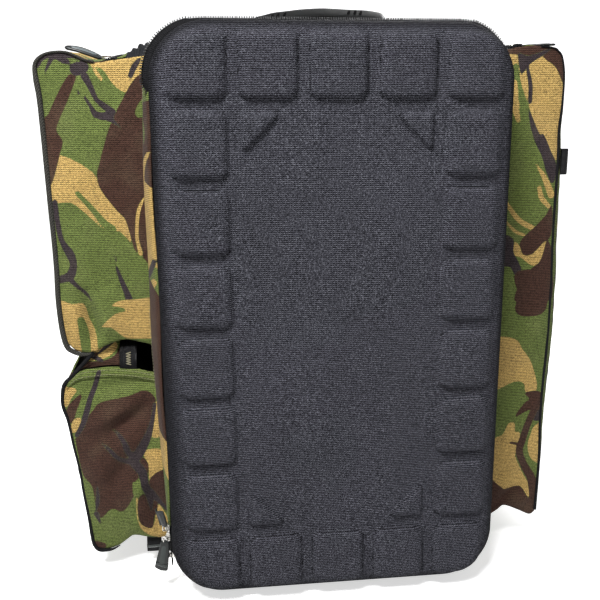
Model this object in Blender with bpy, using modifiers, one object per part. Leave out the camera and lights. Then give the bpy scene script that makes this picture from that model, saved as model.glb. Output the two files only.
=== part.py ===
"""Tackle backpack: a front-opening rucksack for fishing tackle.

A moulded, padded panel is the door of the main compartment. It is zipped round the left side, the top and
the right side, and hinged on a fabric gusset along its lower edge. Two pockets hang on the left side, one
above the other, and one tall pocket on the right. The harness is on the back.

Metres. +Z is up, +X is to the right of someone facing the moulded panel, and the panel faces -Y. The origin
is the centre of the base, on the floor.
"""

import math

import bmesh
import bpy
from mathutils import Matrix, Vector

# Driving dimensions, in metres.
GAP = 0.0003  # between pieces that touch

PANEL_HALF_WIDTH = 0.187
PANEL_BOTTOM = 0.008
PANEL_TOP = 0.632
PANEL_RADIUS = 0.052  # of its corners, seen from the front
PANEL_FRONT = -0.160  # the plane of the raised pads
PANEL_FIELD = -0.155  # the plane between the pads
PANEL_RIM = -0.120
PANEL_WALL = 0.004
PANEL_MIDDLE = (PANEL_BOTTOM + PANEL_TOP) / 2

PAD_PITCH_X = 0.070
PAD_PITCH_Z = 0.0766
PAD_GAP = 0.015
PAD_COLUMNS = 5
PAD_ROWS = 8
PAD_SLOPE = 0.006  # how far a pad's flank runs out
CORNER_PAD_LEG = 0.036

BAG_HALF_WIDTH = 0.186
BAG_FRONT = -0.104
BAG_BACK = 0.130
BAG_BOTTOM = 0.0123
BAG_TOP = 0.620
BAG_WALL = 0.006
BAG_RADIUS = 0.045

ZIP_THICKNESS = 0.002
ZIP_SPLIT = -0.1123  # where the lid's teeth meet the bag's
ZIP_LOW = 0.048  # height of the end stops

LID_AXIS = Vector((0, -0.148, 0.012))

POCKET_INNER = 0.1893  # where the side pockets meet the bag
POCKET_FRONT = -0.065
POCKET_BACK = 0.095
POCKET_WALL = 0.005
TOP_INSET = 0.0015  # of a pocket's top panels behind its front edge

LEFT_OUTER = -0.306
UPPER_BOTTOM = 0.281
UPPER_TOP_FRONT = 0.598
UPPER_TOP_BACK = 0.626
LOWER_BOTTOM = 0.034
LOWER_TOP = 0.256
RIGHT_OUTER = 0.274
RIGHT_BOTTOM = 0.036
RIGHT_TOP_FRONT = 0.610
RIGHT_TOP_BACK = 0.622

PIPING_RADIUS = 0.003
WEBBING = 0.030
WEBBING_THICKNESS = 0.0018

STRAP_WIDTH = 0.066
STRAP_THICKNESS = 0.013

HIP_AXIS_X = 0.1166
HIP_AXIS_Y = 0.1500

SIDES = ((-1, "left"), (1, "right"))

COLLECTION = bpy.data.collections.new("tackle_backpack")
CUTTERS = bpy.data.collections.new("cutters")


def clear_scene():
    for obj in list(bpy.data.objects):
        bpy.data.objects.remove(obj)
    bpy.context.scene.collection.children.link(COLLECTION)
    bpy.context.scene.collection.children.link(CUTTERS)


def make_material(name, colour, roughness, metallic=0.0):
    material = bpy.data.materials.new(name)
    material.use_nodes = True
    shader = material.node_tree.nodes["Principled BSDF"]
    shader.inputs["Base Color"].default_value = (*colour, 1.0)
    shader.inputs["Roughness"].default_value = roughness
    shader.inputs["Metallic"].default_value = metallic
    material.diffuse_color = (*colour, 1.0)
    return material


def place(name, data, material, collection=None):
    """A new object in the backpack's collection, with one material."""
    obj = bpy.data.objects.new(name, data)
    data.materials.append(material)
    (collection or COLLECTION).objects.link(obj)
    return obj


def pivot(name, position):
    """An empty on a joint's axis, which the pieces of a moving body hang on."""
    empty = bpy.data.objects.new(name, None)
    empty.location = position
    empty.empty_display_size = 0.02
    COLLECTION.objects.link(empty)
    return empty


def hang(empty, *pieces):
    for piece in pieces:
        piece.parent = empty
        piece.matrix_parent_inverse = Matrix.Translation(-Vector(empty.location))


def add_bevel(obj, width, segments=2, angle=40):
    bevel = obj.modifiers.new("Bevel", "BEVEL")
    bevel.width = width
    bevel.segments = segments
    bevel.limit_method = "ANGLE"
    bevel.angle_limit = math.radians(angle)


def add_wall(obj, thickness, offset=-1.0):
    wall = obj.modifiers.new("Solidify", "SOLIDIFY")
    wall.thickness = thickness
    wall.offset = offset
    wall.use_even_offset = True


def from_bmesh(name, bm, material):
    mesh = bpy.data.meshes.new(name)
    bmesh.ops.recalc_face_normals(bm, faces=bm.faces)
    bm.to_mesh(mesh)
    bm.free()
    return place(name, mesh, material)


def block(name, low, high, material, bevel=0.0, segments=2):
    """A box between two corners, with rounded edges. The X values may come in either order."""
    bm = bmesh.new()
    bmesh.ops.create_cube(bm, size=1.0)
    low_x, high_x = sorted((low[0], high[0]))
    for vert in bm.verts:
        vert.co.x = low_x if vert.co.x < 0 else high_x
        vert.co.y = low[1] if vert.co.y < 0 else high[1]
        vert.co.z = low[2] if vert.co.z < 0 else high[2]
    obj = from_bmesh(name, bm, material)
    if bevel:
        add_bevel(obj, bevel, segments)
    return obj


def arc(centre, radius, start, end, steps):
    """Points (x, z) along an arc, angles in degrees."""
    points = []
    for n in range(steps + 1):
        turn = math.radians(start + (end - start) * n / steps)
        points.append((centre[0] + radius * math.cos(turn), centre[1] + radius * math.sin(turn)))
    return points


def rounded_rectangle(left, right, low, high, radius, steps=5):
    points = arc((right - radius, high - radius), radius, 0, 90, steps)
    points += arc((left + radius, high - radius), radius, 90, 180, steps)
    points += arc((left + radius, low + radius), radius, 180, 270, steps)
    points += arc((right - radius, low + radius), radius, 270, 360, steps)
    return points


def extruded(name, outlines, front, back, material, bevel=0.0, segments=1):
    """A flat shape drawn in X and Z and given a thickness along Y. A second outline is a hole."""
    curve = bpy.data.curves.new(name, "CURVE")
    curve.dimensions = "2D"
    curve.fill_mode = "BOTH"
    curve.extrude = (back - front) / 2
    for outline in outlines:
        spline = curve.splines.new("POLY")
        spline.points.add(len(outline) - 1)
        spline.use_cyclic_u = True
        for point, (x, z) in zip(spline.points, outline):
            point.co = (x, z, 0, 1)
    obj = place(name, curve, material)
    obj.location = (0, (front + back) / 2, 0)
    obj.rotation_euler = (math.pi / 2, 0, 0)
    if bevel:
        weld = obj.modifiers.new("Weld", "WELD")
        weld.merge_threshold = 0.0001
        add_bevel(obj, bevel, segments)
    return obj


def tube(name, points, radius, material):
    curve = bpy.data.curves.new(name, "CURVE")
    curve.dimensions = "3D"
    curve.bevel_depth = radius
    curve.bevel_resolution = 1
    curve.use_fill_caps = True
    spline = curve.splines.new("POLY")
    spline.points.add(len(points) - 1)
    for point, place_ in zip(spline.points, points):
        point.co = (*place_, 1)
    return place(name, curve, material)


def ribbon(name, points, across, width, thickness, material, bevel=0.0):
    """A flat strap through points. Across is the direction of its width."""
    bm = bmesh.new()
    half = Vector(across).normalized() * width / 2
    pairs = []
    for point in points:
        pairs.append((bm.verts.new(Vector(point) - half), bm.verts.new(Vector(point) + half)))
    for (a, b), (c, d) in zip(pairs, pairs[1:]):
        bm.faces.new((a, b, d, c))
    mesh = bpy.data.meshes.new(name)
    bm.to_mesh(mesh)
    bm.free()
    obj = place(name, mesh, material)
    add_wall(obj, thickness, 0.0)
    if bevel:
        add_bevel(obj, bevel)
    return obj


def open_box(name, left, right, low, top_front, top_back, material, radius):
    """A fabric pocket: five walls, open at a top that slopes from front to back."""
    # The inside of the back wall keeps the height of its outside, so it starts a little lower.
    top_back -= POCKET_WALL * (top_back - top_front) / (POCKET_BACK - POCKET_FRONT)
    bm = bmesh.new()
    bmesh.ops.create_cube(bm, size=1.0)
    for vert in bm.verts:
        top = top_front if vert.co.y < 0 else top_back
        vert.co.x = left if vert.co.x < 0 else right
        vert.co.z = low if vert.co.z < 0 else top
        vert.co.y = POCKET_FRONT if vert.co.y < 0 else POCKET_BACK
    bm.normal_update()
    upper = max(bm.faces, key=lambda face: face.normal.z)
    bmesh.ops.delete(bm, geom=[upper], context="FACES")
    outer = left if abs(left) > abs(right) else right
    floor_edges = [
        edge
        for edge in bm.edges
        if all(abs(vert.co.z - low) < GAP and abs(vert.co.x - outer) < GAP for vert in edge.verts)
    ]
    bmesh.ops.bevel(bm, geom=floor_edges, offset=radius, segments=4, profile=0.5, affect="EDGES")
    obj = from_bmesh(name, bm, material)
    add_wall(obj, POCKET_WALL)
    return obj


# The moulded lid


def panel_outline(inset):
    return rounded_rectangle(
        -PANEL_HALF_WIDTH + inset,
        PANEL_HALF_WIDTH - inset,
        PANEL_BOTTOM + inset,
        PANEL_TOP - inset,
        PANEL_RADIUS - inset * 0.6,
    )


def lid_surface():
    """The outside of the lid: rings that close in from the rim to the flat front."""
    bm = bmesh.new()
    profile = [(PANEL_RIM, 0.0), (-0.136, 0.0), (-0.146, 0.004), (-0.152, 0.011), (PANEL_FIELD, 0.022)]
    rings = []
    for y, inset in profile:
        rings.append([bm.verts.new((x, y, z)) for x, z in panel_outline(inset)])
    for ring, inner in zip(rings, rings[1:]):
        for n in range(len(ring)):
            following = (n + 1) % len(ring)
            bm.faces.new((ring[n], ring[following], inner[following], inner[n]))
    bm.faces.new(rings[-1])
    return bm


def pad_blocks(bm):
    """The ring of raised pads, as frusta whose feet are inside the lid's wall."""
    foot = PANEL_FIELD + PANEL_WALL / 2
    for row in range(PAD_ROWS):
        for column in range(PAD_COLUMNS):
            if 0 < row < PAD_ROWS - 1 and 0 < column < PAD_COLUMNS - 1:
                continue
            x = (column - (PAD_COLUMNS - 1) / 2) * PAD_PITCH_X
            z = PANEL_MIDDLE + (row - (PAD_ROWS - 1) / 2) * PAD_PITCH_Z
            half_x = (PAD_PITCH_X - PAD_GAP) / 2
            half_z = (PAD_PITCH_Z - PAD_GAP) / 2
            made = bmesh.ops.create_cube(bm, size=1.0)["verts"]
            for vert in made:
                raised = vert.co.y < 0
                shrink = PAD_SLOPE if raised else 0.0
                vert.co.x = x + math.copysign(half_x - shrink, vert.co.x)
                vert.co.z = z + math.copysign(half_z - shrink, vert.co.z)
                vert.co.y = PANEL_FRONT if raised else foot


def corner_pads(bm):
    """Four three-cornered pads in the inner corners of the ring."""
    foot = PANEL_FIELD + PANEL_WALL / 2
    inner_x = PAD_PITCH_X * (PAD_COLUMNS / 2 - 1) - PAD_GAP / 2
    inner_z = PAD_PITCH_Z * (PAD_ROWS / 2 - 1) - PAD_GAP / 2
    for side in (-1, 1):
        for end in (-1, 1):
            rings = []
            for y, leg in ((foot, CORNER_PAD_LEG), (PANEL_FRONT + 0.001, CORNER_PAD_LEG - PAD_SLOPE)):
                corner = Vector((side * inner_x, y, PANEL_MIDDLE + end * inner_z))
                along_x = corner - Vector((side * leg, 0, 0))
                along_z = corner - Vector((0, 0, end * leg))
                rings.append([bm.verts.new(point) for point in (corner, along_x, along_z)])
            low, high = rings
            for n in range(3):
                bm.faces.new((low[n], low[(n + 1) % 3], high[(n + 1) % 3], high[n]))
            bm.faces.new(low)
            bm.faces.new(high)


def make_front_shell(material):
    shell = from_bmesh("front_shell", lid_surface(), material)
    add_wall(shell, PANEL_WALL)
    bm = bmesh.new()
    pad_blocks(bm)
    corner_pads(bm)
    pads = from_bmesh("raised_pads", bm, material)
    COLLECTION.objects.unlink(pads)
    CUTTERS.objects.link(pads)
    pads.hide_render = True
    pads.display_type = "WIRE"
    union = shell.modifiers.new("Pads", "BOOLEAN")
    union.operation = "UNION"
    union.object = pads
    return shell


def u_band(half_width, top, radius, thickness):
    """The outline of a band that runs up the left side, over the top and down the right side."""
    outer = [(half_width, ZIP_LOW)]
    outer += arc((half_width - radius, top - radius), radius, 0, 90, 6)
    outer += arc((-half_width + radius, top - radius), radius, 90, 180, 6)
    outer += [(-half_width, ZIP_LOW)]
    inner = [(-half_width + thickness, ZIP_LOW)]
    inner += arc((-half_width + radius, top - radius), radius - thickness, 180, 90, 6)
    inner += arc((half_width - radius, top - radius), radius - thickness, 90, 0, 6)
    inner += [(half_width - thickness, ZIP_LOW)]
    return outer + inner


def make_lid(fabric):
    axis = pivot("front_lid_axis", LID_AXIS)
    shell = make_front_shell(fabric["moulded"])
    inset = 0.0005
    tape = extruded(
        "lid_zip_tape",
        [u_band(PANEL_HALF_WIDTH - inset, PANEL_TOP - inset, PANEL_RADIUS, ZIP_THICKNESS)],
        PANEL_RIM + GAP,
        ZIP_SPLIT - GAP / 2,
        fabric["tape"],
    )
    lining = PANEL_WALL + GAP
    mesh_pocket = extruded(
        "lid_mesh_pocket",
        [rounded_rectangle(-0.170, 0.170, PANEL_BOTTOM + lining + 0.006, 0.430, 0.030, 3)],
        -0.1225,
        -0.1207,
        fabric["mesh"],
    )
    hang(axis, shell, tape, mesh_pocket)


def make_front_zip(fabric):
    """The bag's half of the zip, its two storm flaps and the lid's fabric hinge."""
    extruded(
        "bag_zip_tape",
        [u_band(PANEL_HALF_WIDTH - 0.0005, PANEL_TOP - 0.0005, PANEL_RADIUS, ZIP_THICKNESS)],
        ZIP_SPLIT + GAP / 2,
        BAG_FRONT - GAP,
        fabric["tape"],
    )
    for side, name in SIDES:
        block(
            f"storm_flap_{name}",
            (side * 0.1926, -0.1170, 0.088),
            (side * 0.1946, -0.0680, 0.577),
            fabric["camo"],
            0.0006,
            1,
        )
    block(
        "lid_hinge_gusset",
        (-0.135, -0.1190, 0.0088),
        (0.135, BAG_FRONT - GAP, 0.0108),
        fabric["binding"],
    )


def make_puller(name, top, direction, across, length, width, material):
    """A tapered rubber tag that starts at top and runs along direction."""
    start = Vector(top)
    run = Vector(direction).normalized()
    widths = ((0.0, 0.5), (0.16, 0.62), (0.5, 1.0), (0.9, 0.86), (1.0, 0.6))
    side = Vector(across)
    bm = bmesh.new()
    pairs = []
    for along, share in widths:
        middle = start + run * length * along
        half = side * width * share / 2
        pairs.append((bm.verts.new(middle - half), bm.verts.new(middle + half)))
    for (a, b), (c, d) in zip(pairs, pairs[1:]):
        bm.faces.new((a, b, d, c))
    mesh = bpy.data.meshes.new(name)
    bm.to_mesh(mesh)
    bm.free()
    obj = place(name, mesh, material)
    add_wall(obj, 0.0036, 0.0)
    return obj


def make_front_sliders(fabric):
    """Two sliders on the front zip, parked together at its lower left end, with a rubber puller each."""
    for name, height, up, length in (("upper", 0.074, 1, 0.036), ("lower", 0.060, -1, 0.042)):
        slider = block(
            f"front_slider_{name}",
            (-0.1868, -0.1185, height - 0.006),
            (-0.1923, -0.1068, height + 0.006),
            fabric["metal"],
            0.0008,
            1,
        )
        hang(pivot(f"front_slider_{name}_axis", (-0.1895, -0.1125, height)), slider)
        hinge = Vector((-0.1970, -0.1200, height))
        start = hinge + Vector((0, 0, up * 0.002))
        puller = make_puller(
            f"front_puller_{name}", start, (-0.06, 0, up), (0, 1, 0), length, 0.013, fabric["rubber"]
        )
        hang(pivot(f"front_puller_{name}_axis", hinge), puller)


# The main bag


def make_main_bag(fabric):
    outer = rounded_rectangle(-BAG_HALF_WIDTH, BAG_HALF_WIDTH, BAG_BOTTOM, BAG_TOP, BAG_RADIUS)
    inner = rounded_rectangle(
        -BAG_HALF_WIDTH + BAG_WALL,
        BAG_HALF_WIDTH - BAG_WALL,
        BAG_BOTTOM + BAG_WALL,
        BAG_TOP - BAG_WALL,
        BAG_RADIUS - BAG_WALL,
    )
    extruded("main_gusset", [outer, inner], BAG_FRONT, BAG_BACK - BAG_WALL, fabric["camo"])
    extruded("main_back_wall", [outer], BAG_BACK - BAG_WALL + GAP, BAG_BACK, fabric["liner"])
    floor = BAG_BOTTOM + BAG_WALL + GAP
    block("base_board", (-0.135, -0.095, floor), (0.135, 0.115, floor + 0.003), fabric["board"], 0.001, 1)
    block("frame_sheet", (-0.150, 0.1203, 0.045), (0.150, 0.1234, 0.590), fabric["board"], 0.001, 1)
    block("base_tray", (-0.158, -0.098, 0.0), (0.158, 0.126, BAG_BOTTOM - GAP), fabric["coated"], 0.004, 2)


def make_handle(fabric):
    """A moulded grab handle whose feet are held by two sewn anchor tabs."""
    low = BAG_TOP + 0.0056
    outer = [(-0.088, low), (-0.086, low + 0.012), (-0.070, low + 0.024)]
    outer += [(-0.030, low + 0.0325), (0.030, low + 0.0335), (0.070, low + 0.027)]
    outer += [(0.086, low + 0.012), (0.088, low)]
    inner = [(0.072, low), (0.066, low + 0.012), (0.030, low + 0.0225)]
    inner += [(-0.030, low + 0.0215), (-0.066, low + 0.011), (-0.072, low)]
    handle = extruded(
        "carry_handle", [list(reversed(outer + inner))], -0.049, -0.031, fabric["rubber"], 0.003, 2
    )
    hang(pivot("carry_handle_axis", (0, -0.040, low + 0.006)), handle)
    for side, name in SIDES:
        block(
            f"handle_anchor_{name}",
            (side * 0.062, -0.054, BAG_TOP + GAP),
            (side * 0.112, -0.026, BAG_TOP + 0.0019),
            fabric["webbing"],
            0.0004,
            1,
        )


# The side pockets


def slope_at(front, back, y):
    share = (y - POCKET_FRONT) / (POCKET_BACK - POCKET_FRONT)
    return front + (back - front) * share


def sloping_panel(name, left, right, front, back, lift, thickness, material):
    """A panel that lies on a pocket's sloping top."""
    bm = bmesh.new()
    bmesh.ops.create_cube(bm, size=1.0)
    low_x, high_x = sorted((left, right))
    for vert in bm.verts:
        vert.co.x = low_x if vert.co.x < 0 else high_x
        y = POCKET_FRONT + TOP_INSET if vert.co.y < 0 else POCKET_BACK
        base = slope_at(front, back, y) + lift
        vert.co.z = base if vert.co.z < 0 else base + thickness
        vert.co.y = y
    return from_bmesh(name, bm, material)


def make_pocket_top(prefix, side, outer, zip_line, front, back, fabric):
    """A pocket's top: a lid hinged on its outer edge, and a zip whose tape runs on to the bag's side."""
    half_zip = 0.006
    lid_inner = zip_line + side * (half_zip + GAP)
    lid = sloping_panel(f"{prefix}_lid", outer, lid_inner, front, back, GAP, 0.004, fabric["camo"])
    tape_edge = side * (POCKET_INNER + 0.0002)
    tape = (zip_line + side * half_zip, tape_edge)
    sloping_panel(f"{prefix}_zip", *tape, front, back, GAP, ZIP_THICKNESS, fabric["tape"])
    hang(pivot(f"{prefix}_lid_axis", (outer, 0, front)), lid)

    at = Vector((zip_line, POCKET_FRONT + 0.012, 0))
    at.z = slope_at(front, back, at.y) + ZIP_THICKNESS + 2 * GAP + 0.0022
    half = half_zip - 0.0006
    slider = block(
        f"{prefix}_slider", (-half, -0.006, -0.0022), (half, 0.006, 0.0022), fabric["metal"], 0.0008, 1
    )
    slider.location = at
    slider.rotation_euler = (math.atan2(back - front, POCKET_BACK - POCKET_FRONT), 0, 0)
    hinge = at + Vector((side * 0.0045, 0, 0.0050))
    start = hinge + Vector((side * 0.002, 0, 0))
    puller = make_puller(
        f"{prefix}_puller", start, (side, 0, 0.10), (0, 1, 0), 0.040, 0.013, fabric["rubber"]
    )
    hang(pivot(f"{prefix}_puller_axis", hinge), puller)


def make_piping(name, outer, low, high, inner, radius, material):
    """Piping round a pocket's front edge: along the top, down the outer side and round the lower corner."""
    side = math.copysign(1, outer)
    reach = PIPING_RADIUS + 0.0004
    x = outer + side * reach
    points = [(inner, high + reach), (x - side * 0.012, high + reach)]
    points += [(x - side * 0.0035, high + reach - 0.0035), (x, high - 0.010)]
    turn = (180, 270) if side < 0 else (0, -90)
    points += arc((x - side * radius, low - reach + radius), radius, *turn, 5)
    y = POCKET_FRONT - reach
    return tube(name, [(px, y, pz) for px, pz in points], PIPING_RADIUS, material)


def make_left_upper_pocket(fabric):
    open_box(
        "left_upper_pocket",
        LEFT_OUTER,
        -POCKET_INNER,
        UPPER_BOTTOM,
        UPPER_TOP_FRONT,
        UPPER_TOP_BACK,
        fabric["camo"],
        0.026,
    )
    make_pocket_top("left_upper", -1, LEFT_OUTER, -0.230, UPPER_TOP_FRONT, UPPER_TOP_BACK, fabric)
    make_piping(
        "left_upper_piping", LEFT_OUTER, UPPER_BOTTOM, UPPER_TOP_FRONT, -0.262, 0.026, fabric["webbing"]
    )


def make_left_lower_pocket(fabric):
    open_box(
        "left_lower_pocket",
        LEFT_OUTER,
        -POCKET_INNER,
        LOWER_BOTTOM,
        LOWER_TOP,
        LOWER_TOP + 0.006,
        fabric["camo"],
        0.024,
    )
    make_piping(
        "left_lower_piping", LEFT_OUTER, LOWER_BOTTOM, LOWER_TOP - 0.004, -0.2925, 0.024, fabric["webbing"]
    )
    block(
        "left_lower_hem",
        (-0.288, POCKET_FRONT - 0.0034, 0.228),
        (-0.194, POCKET_FRONT - GAP, 0.256),
        fabric["camo"],
        0.0008,
        1,
    )
    ribbon(
        "left_hanger_strap",
        [(-0.236, 0.060, UPPER_BOTTOM - GAP), (-0.236, 0.058, 0.255), (-0.236, 0.062, 0.205)],
        (1, 0, 0),
        WEBBING,
        WEBBING_THICKNESS,
        fabric["webbing"],
    )
    ribbon(
        "left_base_tab",
        [(-0.220, -0.054, LOWER_BOTTOM - 0.0025), (-0.222, -0.056, 0.022), (-0.222, -0.058, 0.014)],
        (1, 0, 0),
        0.017,
        0.003,
        fabric["webbing"],
    )


def make_right_pocket(fabric):
    open_box(
        "right_pocket",
        POCKET_INNER,
        RIGHT_OUTER,
        RIGHT_BOTTOM,
        RIGHT_TOP_FRONT,
        RIGHT_TOP_BACK,
        fabric["camo"],
        0.020,
    )
    make_pocket_top("right", 1, RIGHT_OUTER, 0.222, RIGHT_TOP_FRONT, RIGHT_TOP_BACK, fabric)
    make_piping("right_piping", RIGHT_OUTER, RIGHT_BOTTOM, RIGHT_TOP_FRONT, 0.240, 0.020, fabric["webbing"])


def make_side_loops(fabric):
    """A webbing loop on the outer side of each upper pocket, its two ends sewn flat to the fabric."""
    for (side, name), wall in zip(SIDES, (LEFT_OUTER, RIGHT_OUTER)):
        face = wall + side * (GAP + WEBBING_THICKNESS / 2)
        out = face + side * 0.0155
        points = [(face, -0.062), (face, -0.056), (out, -0.052)]
        points += [(out, -0.030), (face, -0.026), (face, -0.020)]
        ribbon(
            f"{name}_side_loop",
            [(x, y, 0.490) for x, y in points],
            (0, 0, 1),
            WEBBING,
            WEBBING_THICKNESS,
            fabric["webbing"],
        )
    wall = RIGHT_OUTER + GAP
    for name, height in (("lower", 0.074), ("upper", 0.148)):
        outlines = []
        for left, right, half in ((0.0, 0.040, 0.016), (0.012, 0.033, 0.009)):
            outlines.append(
                [
                    (wall + left, height - half),
                    (wall + right, height - half * 0.8),
                    (wall + right, height + half * 0.8),
                    (wall + left, height + half),
                ]
            )
        extruded(f"right_side_buckle_{name}", outlines, 0.002, 0.006, fabric["plastic"])


# The harness


def make_back_panel(fabric):
    face = BAG_BACK + GAP
    block("back_pad", (-0.140, face, 0.190), (0.140, face + 0.016, 0.560), fabric["mesh"], 0.007, 3)
    block("lumbar_pad", (-0.115, face, 0.045), (0.115, face + 0.022, 0.150), fabric["mesh"], 0.009, 3)
    block("harness_yoke", (-0.120, face, 0.570), (0.120, face + 0.005, 0.606), fabric["binding"], 0.001, 1)


def strap_points(side):
    """The middle of a shoulder strap, from the yoke down, standing off the back as it falls."""
    return [
        (side * 0.066, 0.1440, 0.590),
        (side * 0.068, 0.1600, 0.570),
        (side * 0.072, 0.1740, 0.520),
        (side * 0.080, 0.1800, 0.450),
        (side * 0.092, 0.1800, 0.370),
        (side * 0.104, 0.1760, 0.290),
        (side * 0.112, 0.1700, 0.240),
    ]


def make_shoulder_strap(name, side, fabric):
    axis = pivot(f"shoulder_strap_{name}_axis", (side * 0.066, 0.1440, 0.592))
    pad = ribbon(
        f"shoulder_strap_{name}",
        strap_points(side),
        (1, 0, 0),
        STRAP_WIDTH,
        STRAP_THICKNESS,
        fabric["pad"],
        0.004,
    )
    x = side * 0.113
    lock = extruded(
        f"ladder_lock_{name}",
        [
            [(x - 0.019, 0.206), (x + 0.019, 0.206), (x + 0.019, 0.2385), (x - 0.019, 0.2385)],
            [(x - 0.014, 0.214), (x + 0.014, 0.214), (x + 0.014, 0.230), (x - 0.014, 0.230)],
        ],
        0.1670,
        0.1730,
        fabric["plastic"],
    )
    hang(axis, pad, lock)
    sternum = ribbon(
        f"sternum_strap_{name}",
        [(side * 0.060, 0.1893, 0.468), (side * 0.056, 0.1905, 0.456), (side * 0.054, 0.1910, 0.440)],
        (1, 0, 0),
        0.020,
        WEBBING_THICKNESS,
        fabric["webbing"],
    )
    buckle = block(
        f"sternum_buckle_{name}",
        (side * 0.054 - 0.0115, 0.1880, 0.4115),
        (side * 0.054 + 0.0115, 0.1940, 0.4395),
        fabric["plastic"],
        0.002,
        2,
    )
    hang(pivot(f"sternum_strap_{name}_axis", (side * 0.060, 0.1893, 0.468)), sternum, buckle)
    ribbon(
        f"strap_webbing_{name}",
        [
            (x, 0.1655, 0.222),
            (side * 0.124, 0.1560, 0.195),
            (side * 0.137, 0.1430, 0.170),
            (side * 0.150, 0.1325, 0.146),
        ],
        (1, 0, 0),
        0.025,
        WEBBING_THICKNESS,
        fabric["webbing"],
    )


def make_hip_belt(name, side, fabric):
    """A padded wing hinged beside the lumbar pad, with a short web and half of the belt's buckle."""
    face = BAG_BACK + 0.004
    wing = block(
        f"hip_wing_{name}",
        (side * 0.1178, face, 0.050),
        (side * 0.245, face + 0.014, 0.136),
        fabric["pad"],
        0.006,
        3,
    )
    middle = face + 0.007
    webbing = ribbon(
        f"hip_webbing_{name}",
        [(side * 0.2453, middle, 0.093), (side * 0.262, middle, 0.093), (side * 0.272, middle, 0.093)],
        (0, 0, 1),
        0.038,
        WEBBING_THICKNESS,
        fabric["webbing"],
    )
    buckle = block(
        f"hip_buckle_{name}",
        (side * 0.2725, middle - 0.0055, 0.072),
        (side * 0.300, middle + 0.0055, 0.114),
        fabric["plastic"],
        0.003,
        2,
    )
    hang(pivot(f"hip_wing_{name}_axis", (side * HIP_AXIS_X, HIP_AXIS_Y, 0.093)), wing, webbing, buckle)


def make_materials():
    return {
        "moulded": make_material("moulded_panel", (0.045, 0.048, 0.058), 0.85),
        "camo": make_material("camouflage_fabric", (0.16, 0.20, 0.07), 0.85),
        "tape": make_material("zip_tape", (0.015, 0.016, 0.017), 0.7),
        "webbing": make_material("black_webbing", (0.012, 0.013, 0.013), 0.7),
        "binding": make_material("black_binding", (0.018, 0.019, 0.020), 0.8),
        "mesh": make_material("spacer_mesh", (0.020, 0.021, 0.022), 0.9),
        "pad": make_material("strap_padding", (0.022, 0.024, 0.022), 0.88),
        "liner": make_material("lining", (0.06, 0.07, 0.06), 0.8),
        "board": make_material("stiffener", (0.30, 0.30, 0.29), 0.5),
        "coated": make_material("coated_base", (0.02, 0.021, 0.022), 0.5),
        "rubber": make_material("moulded_rubber", (0.045, 0.055, 0.052), 0.6),
        "plastic": make_material("buckle_plastic", (0.015, 0.015, 0.016), 0.4),
        "metal": make_material("slider_metal", (0.62, 0.60, 0.57), 0.3, 1.0),
    }


def main():
    clear_scene()
    fabric = make_materials()
    make_lid(fabric)
    make_front_zip(fabric)
    make_front_sliders(fabric)
    make_main_bag(fabric)
    make_handle(fabric)
    make_left_upper_pocket(fabric)
    make_left_lower_pocket(fabric)
    make_right_pocket(fabric)
    make_side_loops(fabric)
    make_back_panel(fabric)
    for side, name in SIDES:
        make_shoulder_strap(name, side, fabric)
        make_hip_belt(name, side, fabric)


main()
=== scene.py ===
"""Looks of the tackle backpack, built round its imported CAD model, in metres."""

import math

import bpy
import numpy as np
from mathutils import Matrix, Vector


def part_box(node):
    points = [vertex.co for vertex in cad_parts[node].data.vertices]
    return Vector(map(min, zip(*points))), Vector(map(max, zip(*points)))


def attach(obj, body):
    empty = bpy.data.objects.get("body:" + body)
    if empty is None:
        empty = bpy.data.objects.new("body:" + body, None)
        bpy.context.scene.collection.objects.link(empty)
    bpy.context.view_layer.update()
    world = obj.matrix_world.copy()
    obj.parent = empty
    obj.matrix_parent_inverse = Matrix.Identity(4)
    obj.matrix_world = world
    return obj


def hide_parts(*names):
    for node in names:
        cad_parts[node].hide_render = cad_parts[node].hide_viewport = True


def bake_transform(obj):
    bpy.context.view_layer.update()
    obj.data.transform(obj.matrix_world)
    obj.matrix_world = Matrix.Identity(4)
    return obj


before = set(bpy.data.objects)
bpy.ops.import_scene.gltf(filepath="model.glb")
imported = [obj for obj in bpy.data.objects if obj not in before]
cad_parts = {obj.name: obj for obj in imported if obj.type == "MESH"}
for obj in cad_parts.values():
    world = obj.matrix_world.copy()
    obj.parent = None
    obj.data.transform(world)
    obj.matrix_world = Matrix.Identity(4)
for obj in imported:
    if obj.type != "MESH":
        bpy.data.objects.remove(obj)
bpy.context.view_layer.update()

MM = 0.001
TURN = 2 * math.pi

# Numbers shared by the pieces, in the frame's own metres
PANEL_LOW, PANEL_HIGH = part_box("front_shell")
PANEL_HALF = PANEL_HIGH.x
PANEL_MIDDLE = (PANEL_LOW.z + PANEL_HIGH.z) / 2
PANEL_HALF_HEIGHT = (PANEL_HIGH.z - PANEL_LOW.z) / 2
PANEL_RADIUS = 0.052
LID_RADIUS = 0.059
PANEL_FRONT = PANEL_LOW.y
PANEL_FIELD = PANEL_FRONT + 0.0065
PANEL_RIM = PANEL_HIGH.y
PAD_PITCH_X = 0.070
PAD_PITCH_Z = 0.0766
PAD_GAP = 0.015
PAD_COLUMNS = 5
PAD_ROWS = 8

ZIP_LOW = 0.048  # where the front zip ends, above the ground
TEETH_Y = -0.1123
LID_TOOTH_PITCH = 0.0024
TOP_TOOTH_PITCH = 0.0029
POCKET_INNER = 0.1895  # where a side pocket meets the bag, from the middle
BAG_RADIUS = 0.045
CUSHION_CHANNELS = (0.3130, 0.4370)  # heights of the channels across the back cushion
LUMBAR_CHANNELS = (-0.060, 0.060)
BELT_Z = 0.093
SIDES = (("left", -1), ("right", 1))
POCKET_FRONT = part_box("left_lower_pocket")[0].y
POCKET_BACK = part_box("left_lower_pocket")[1].y

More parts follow.
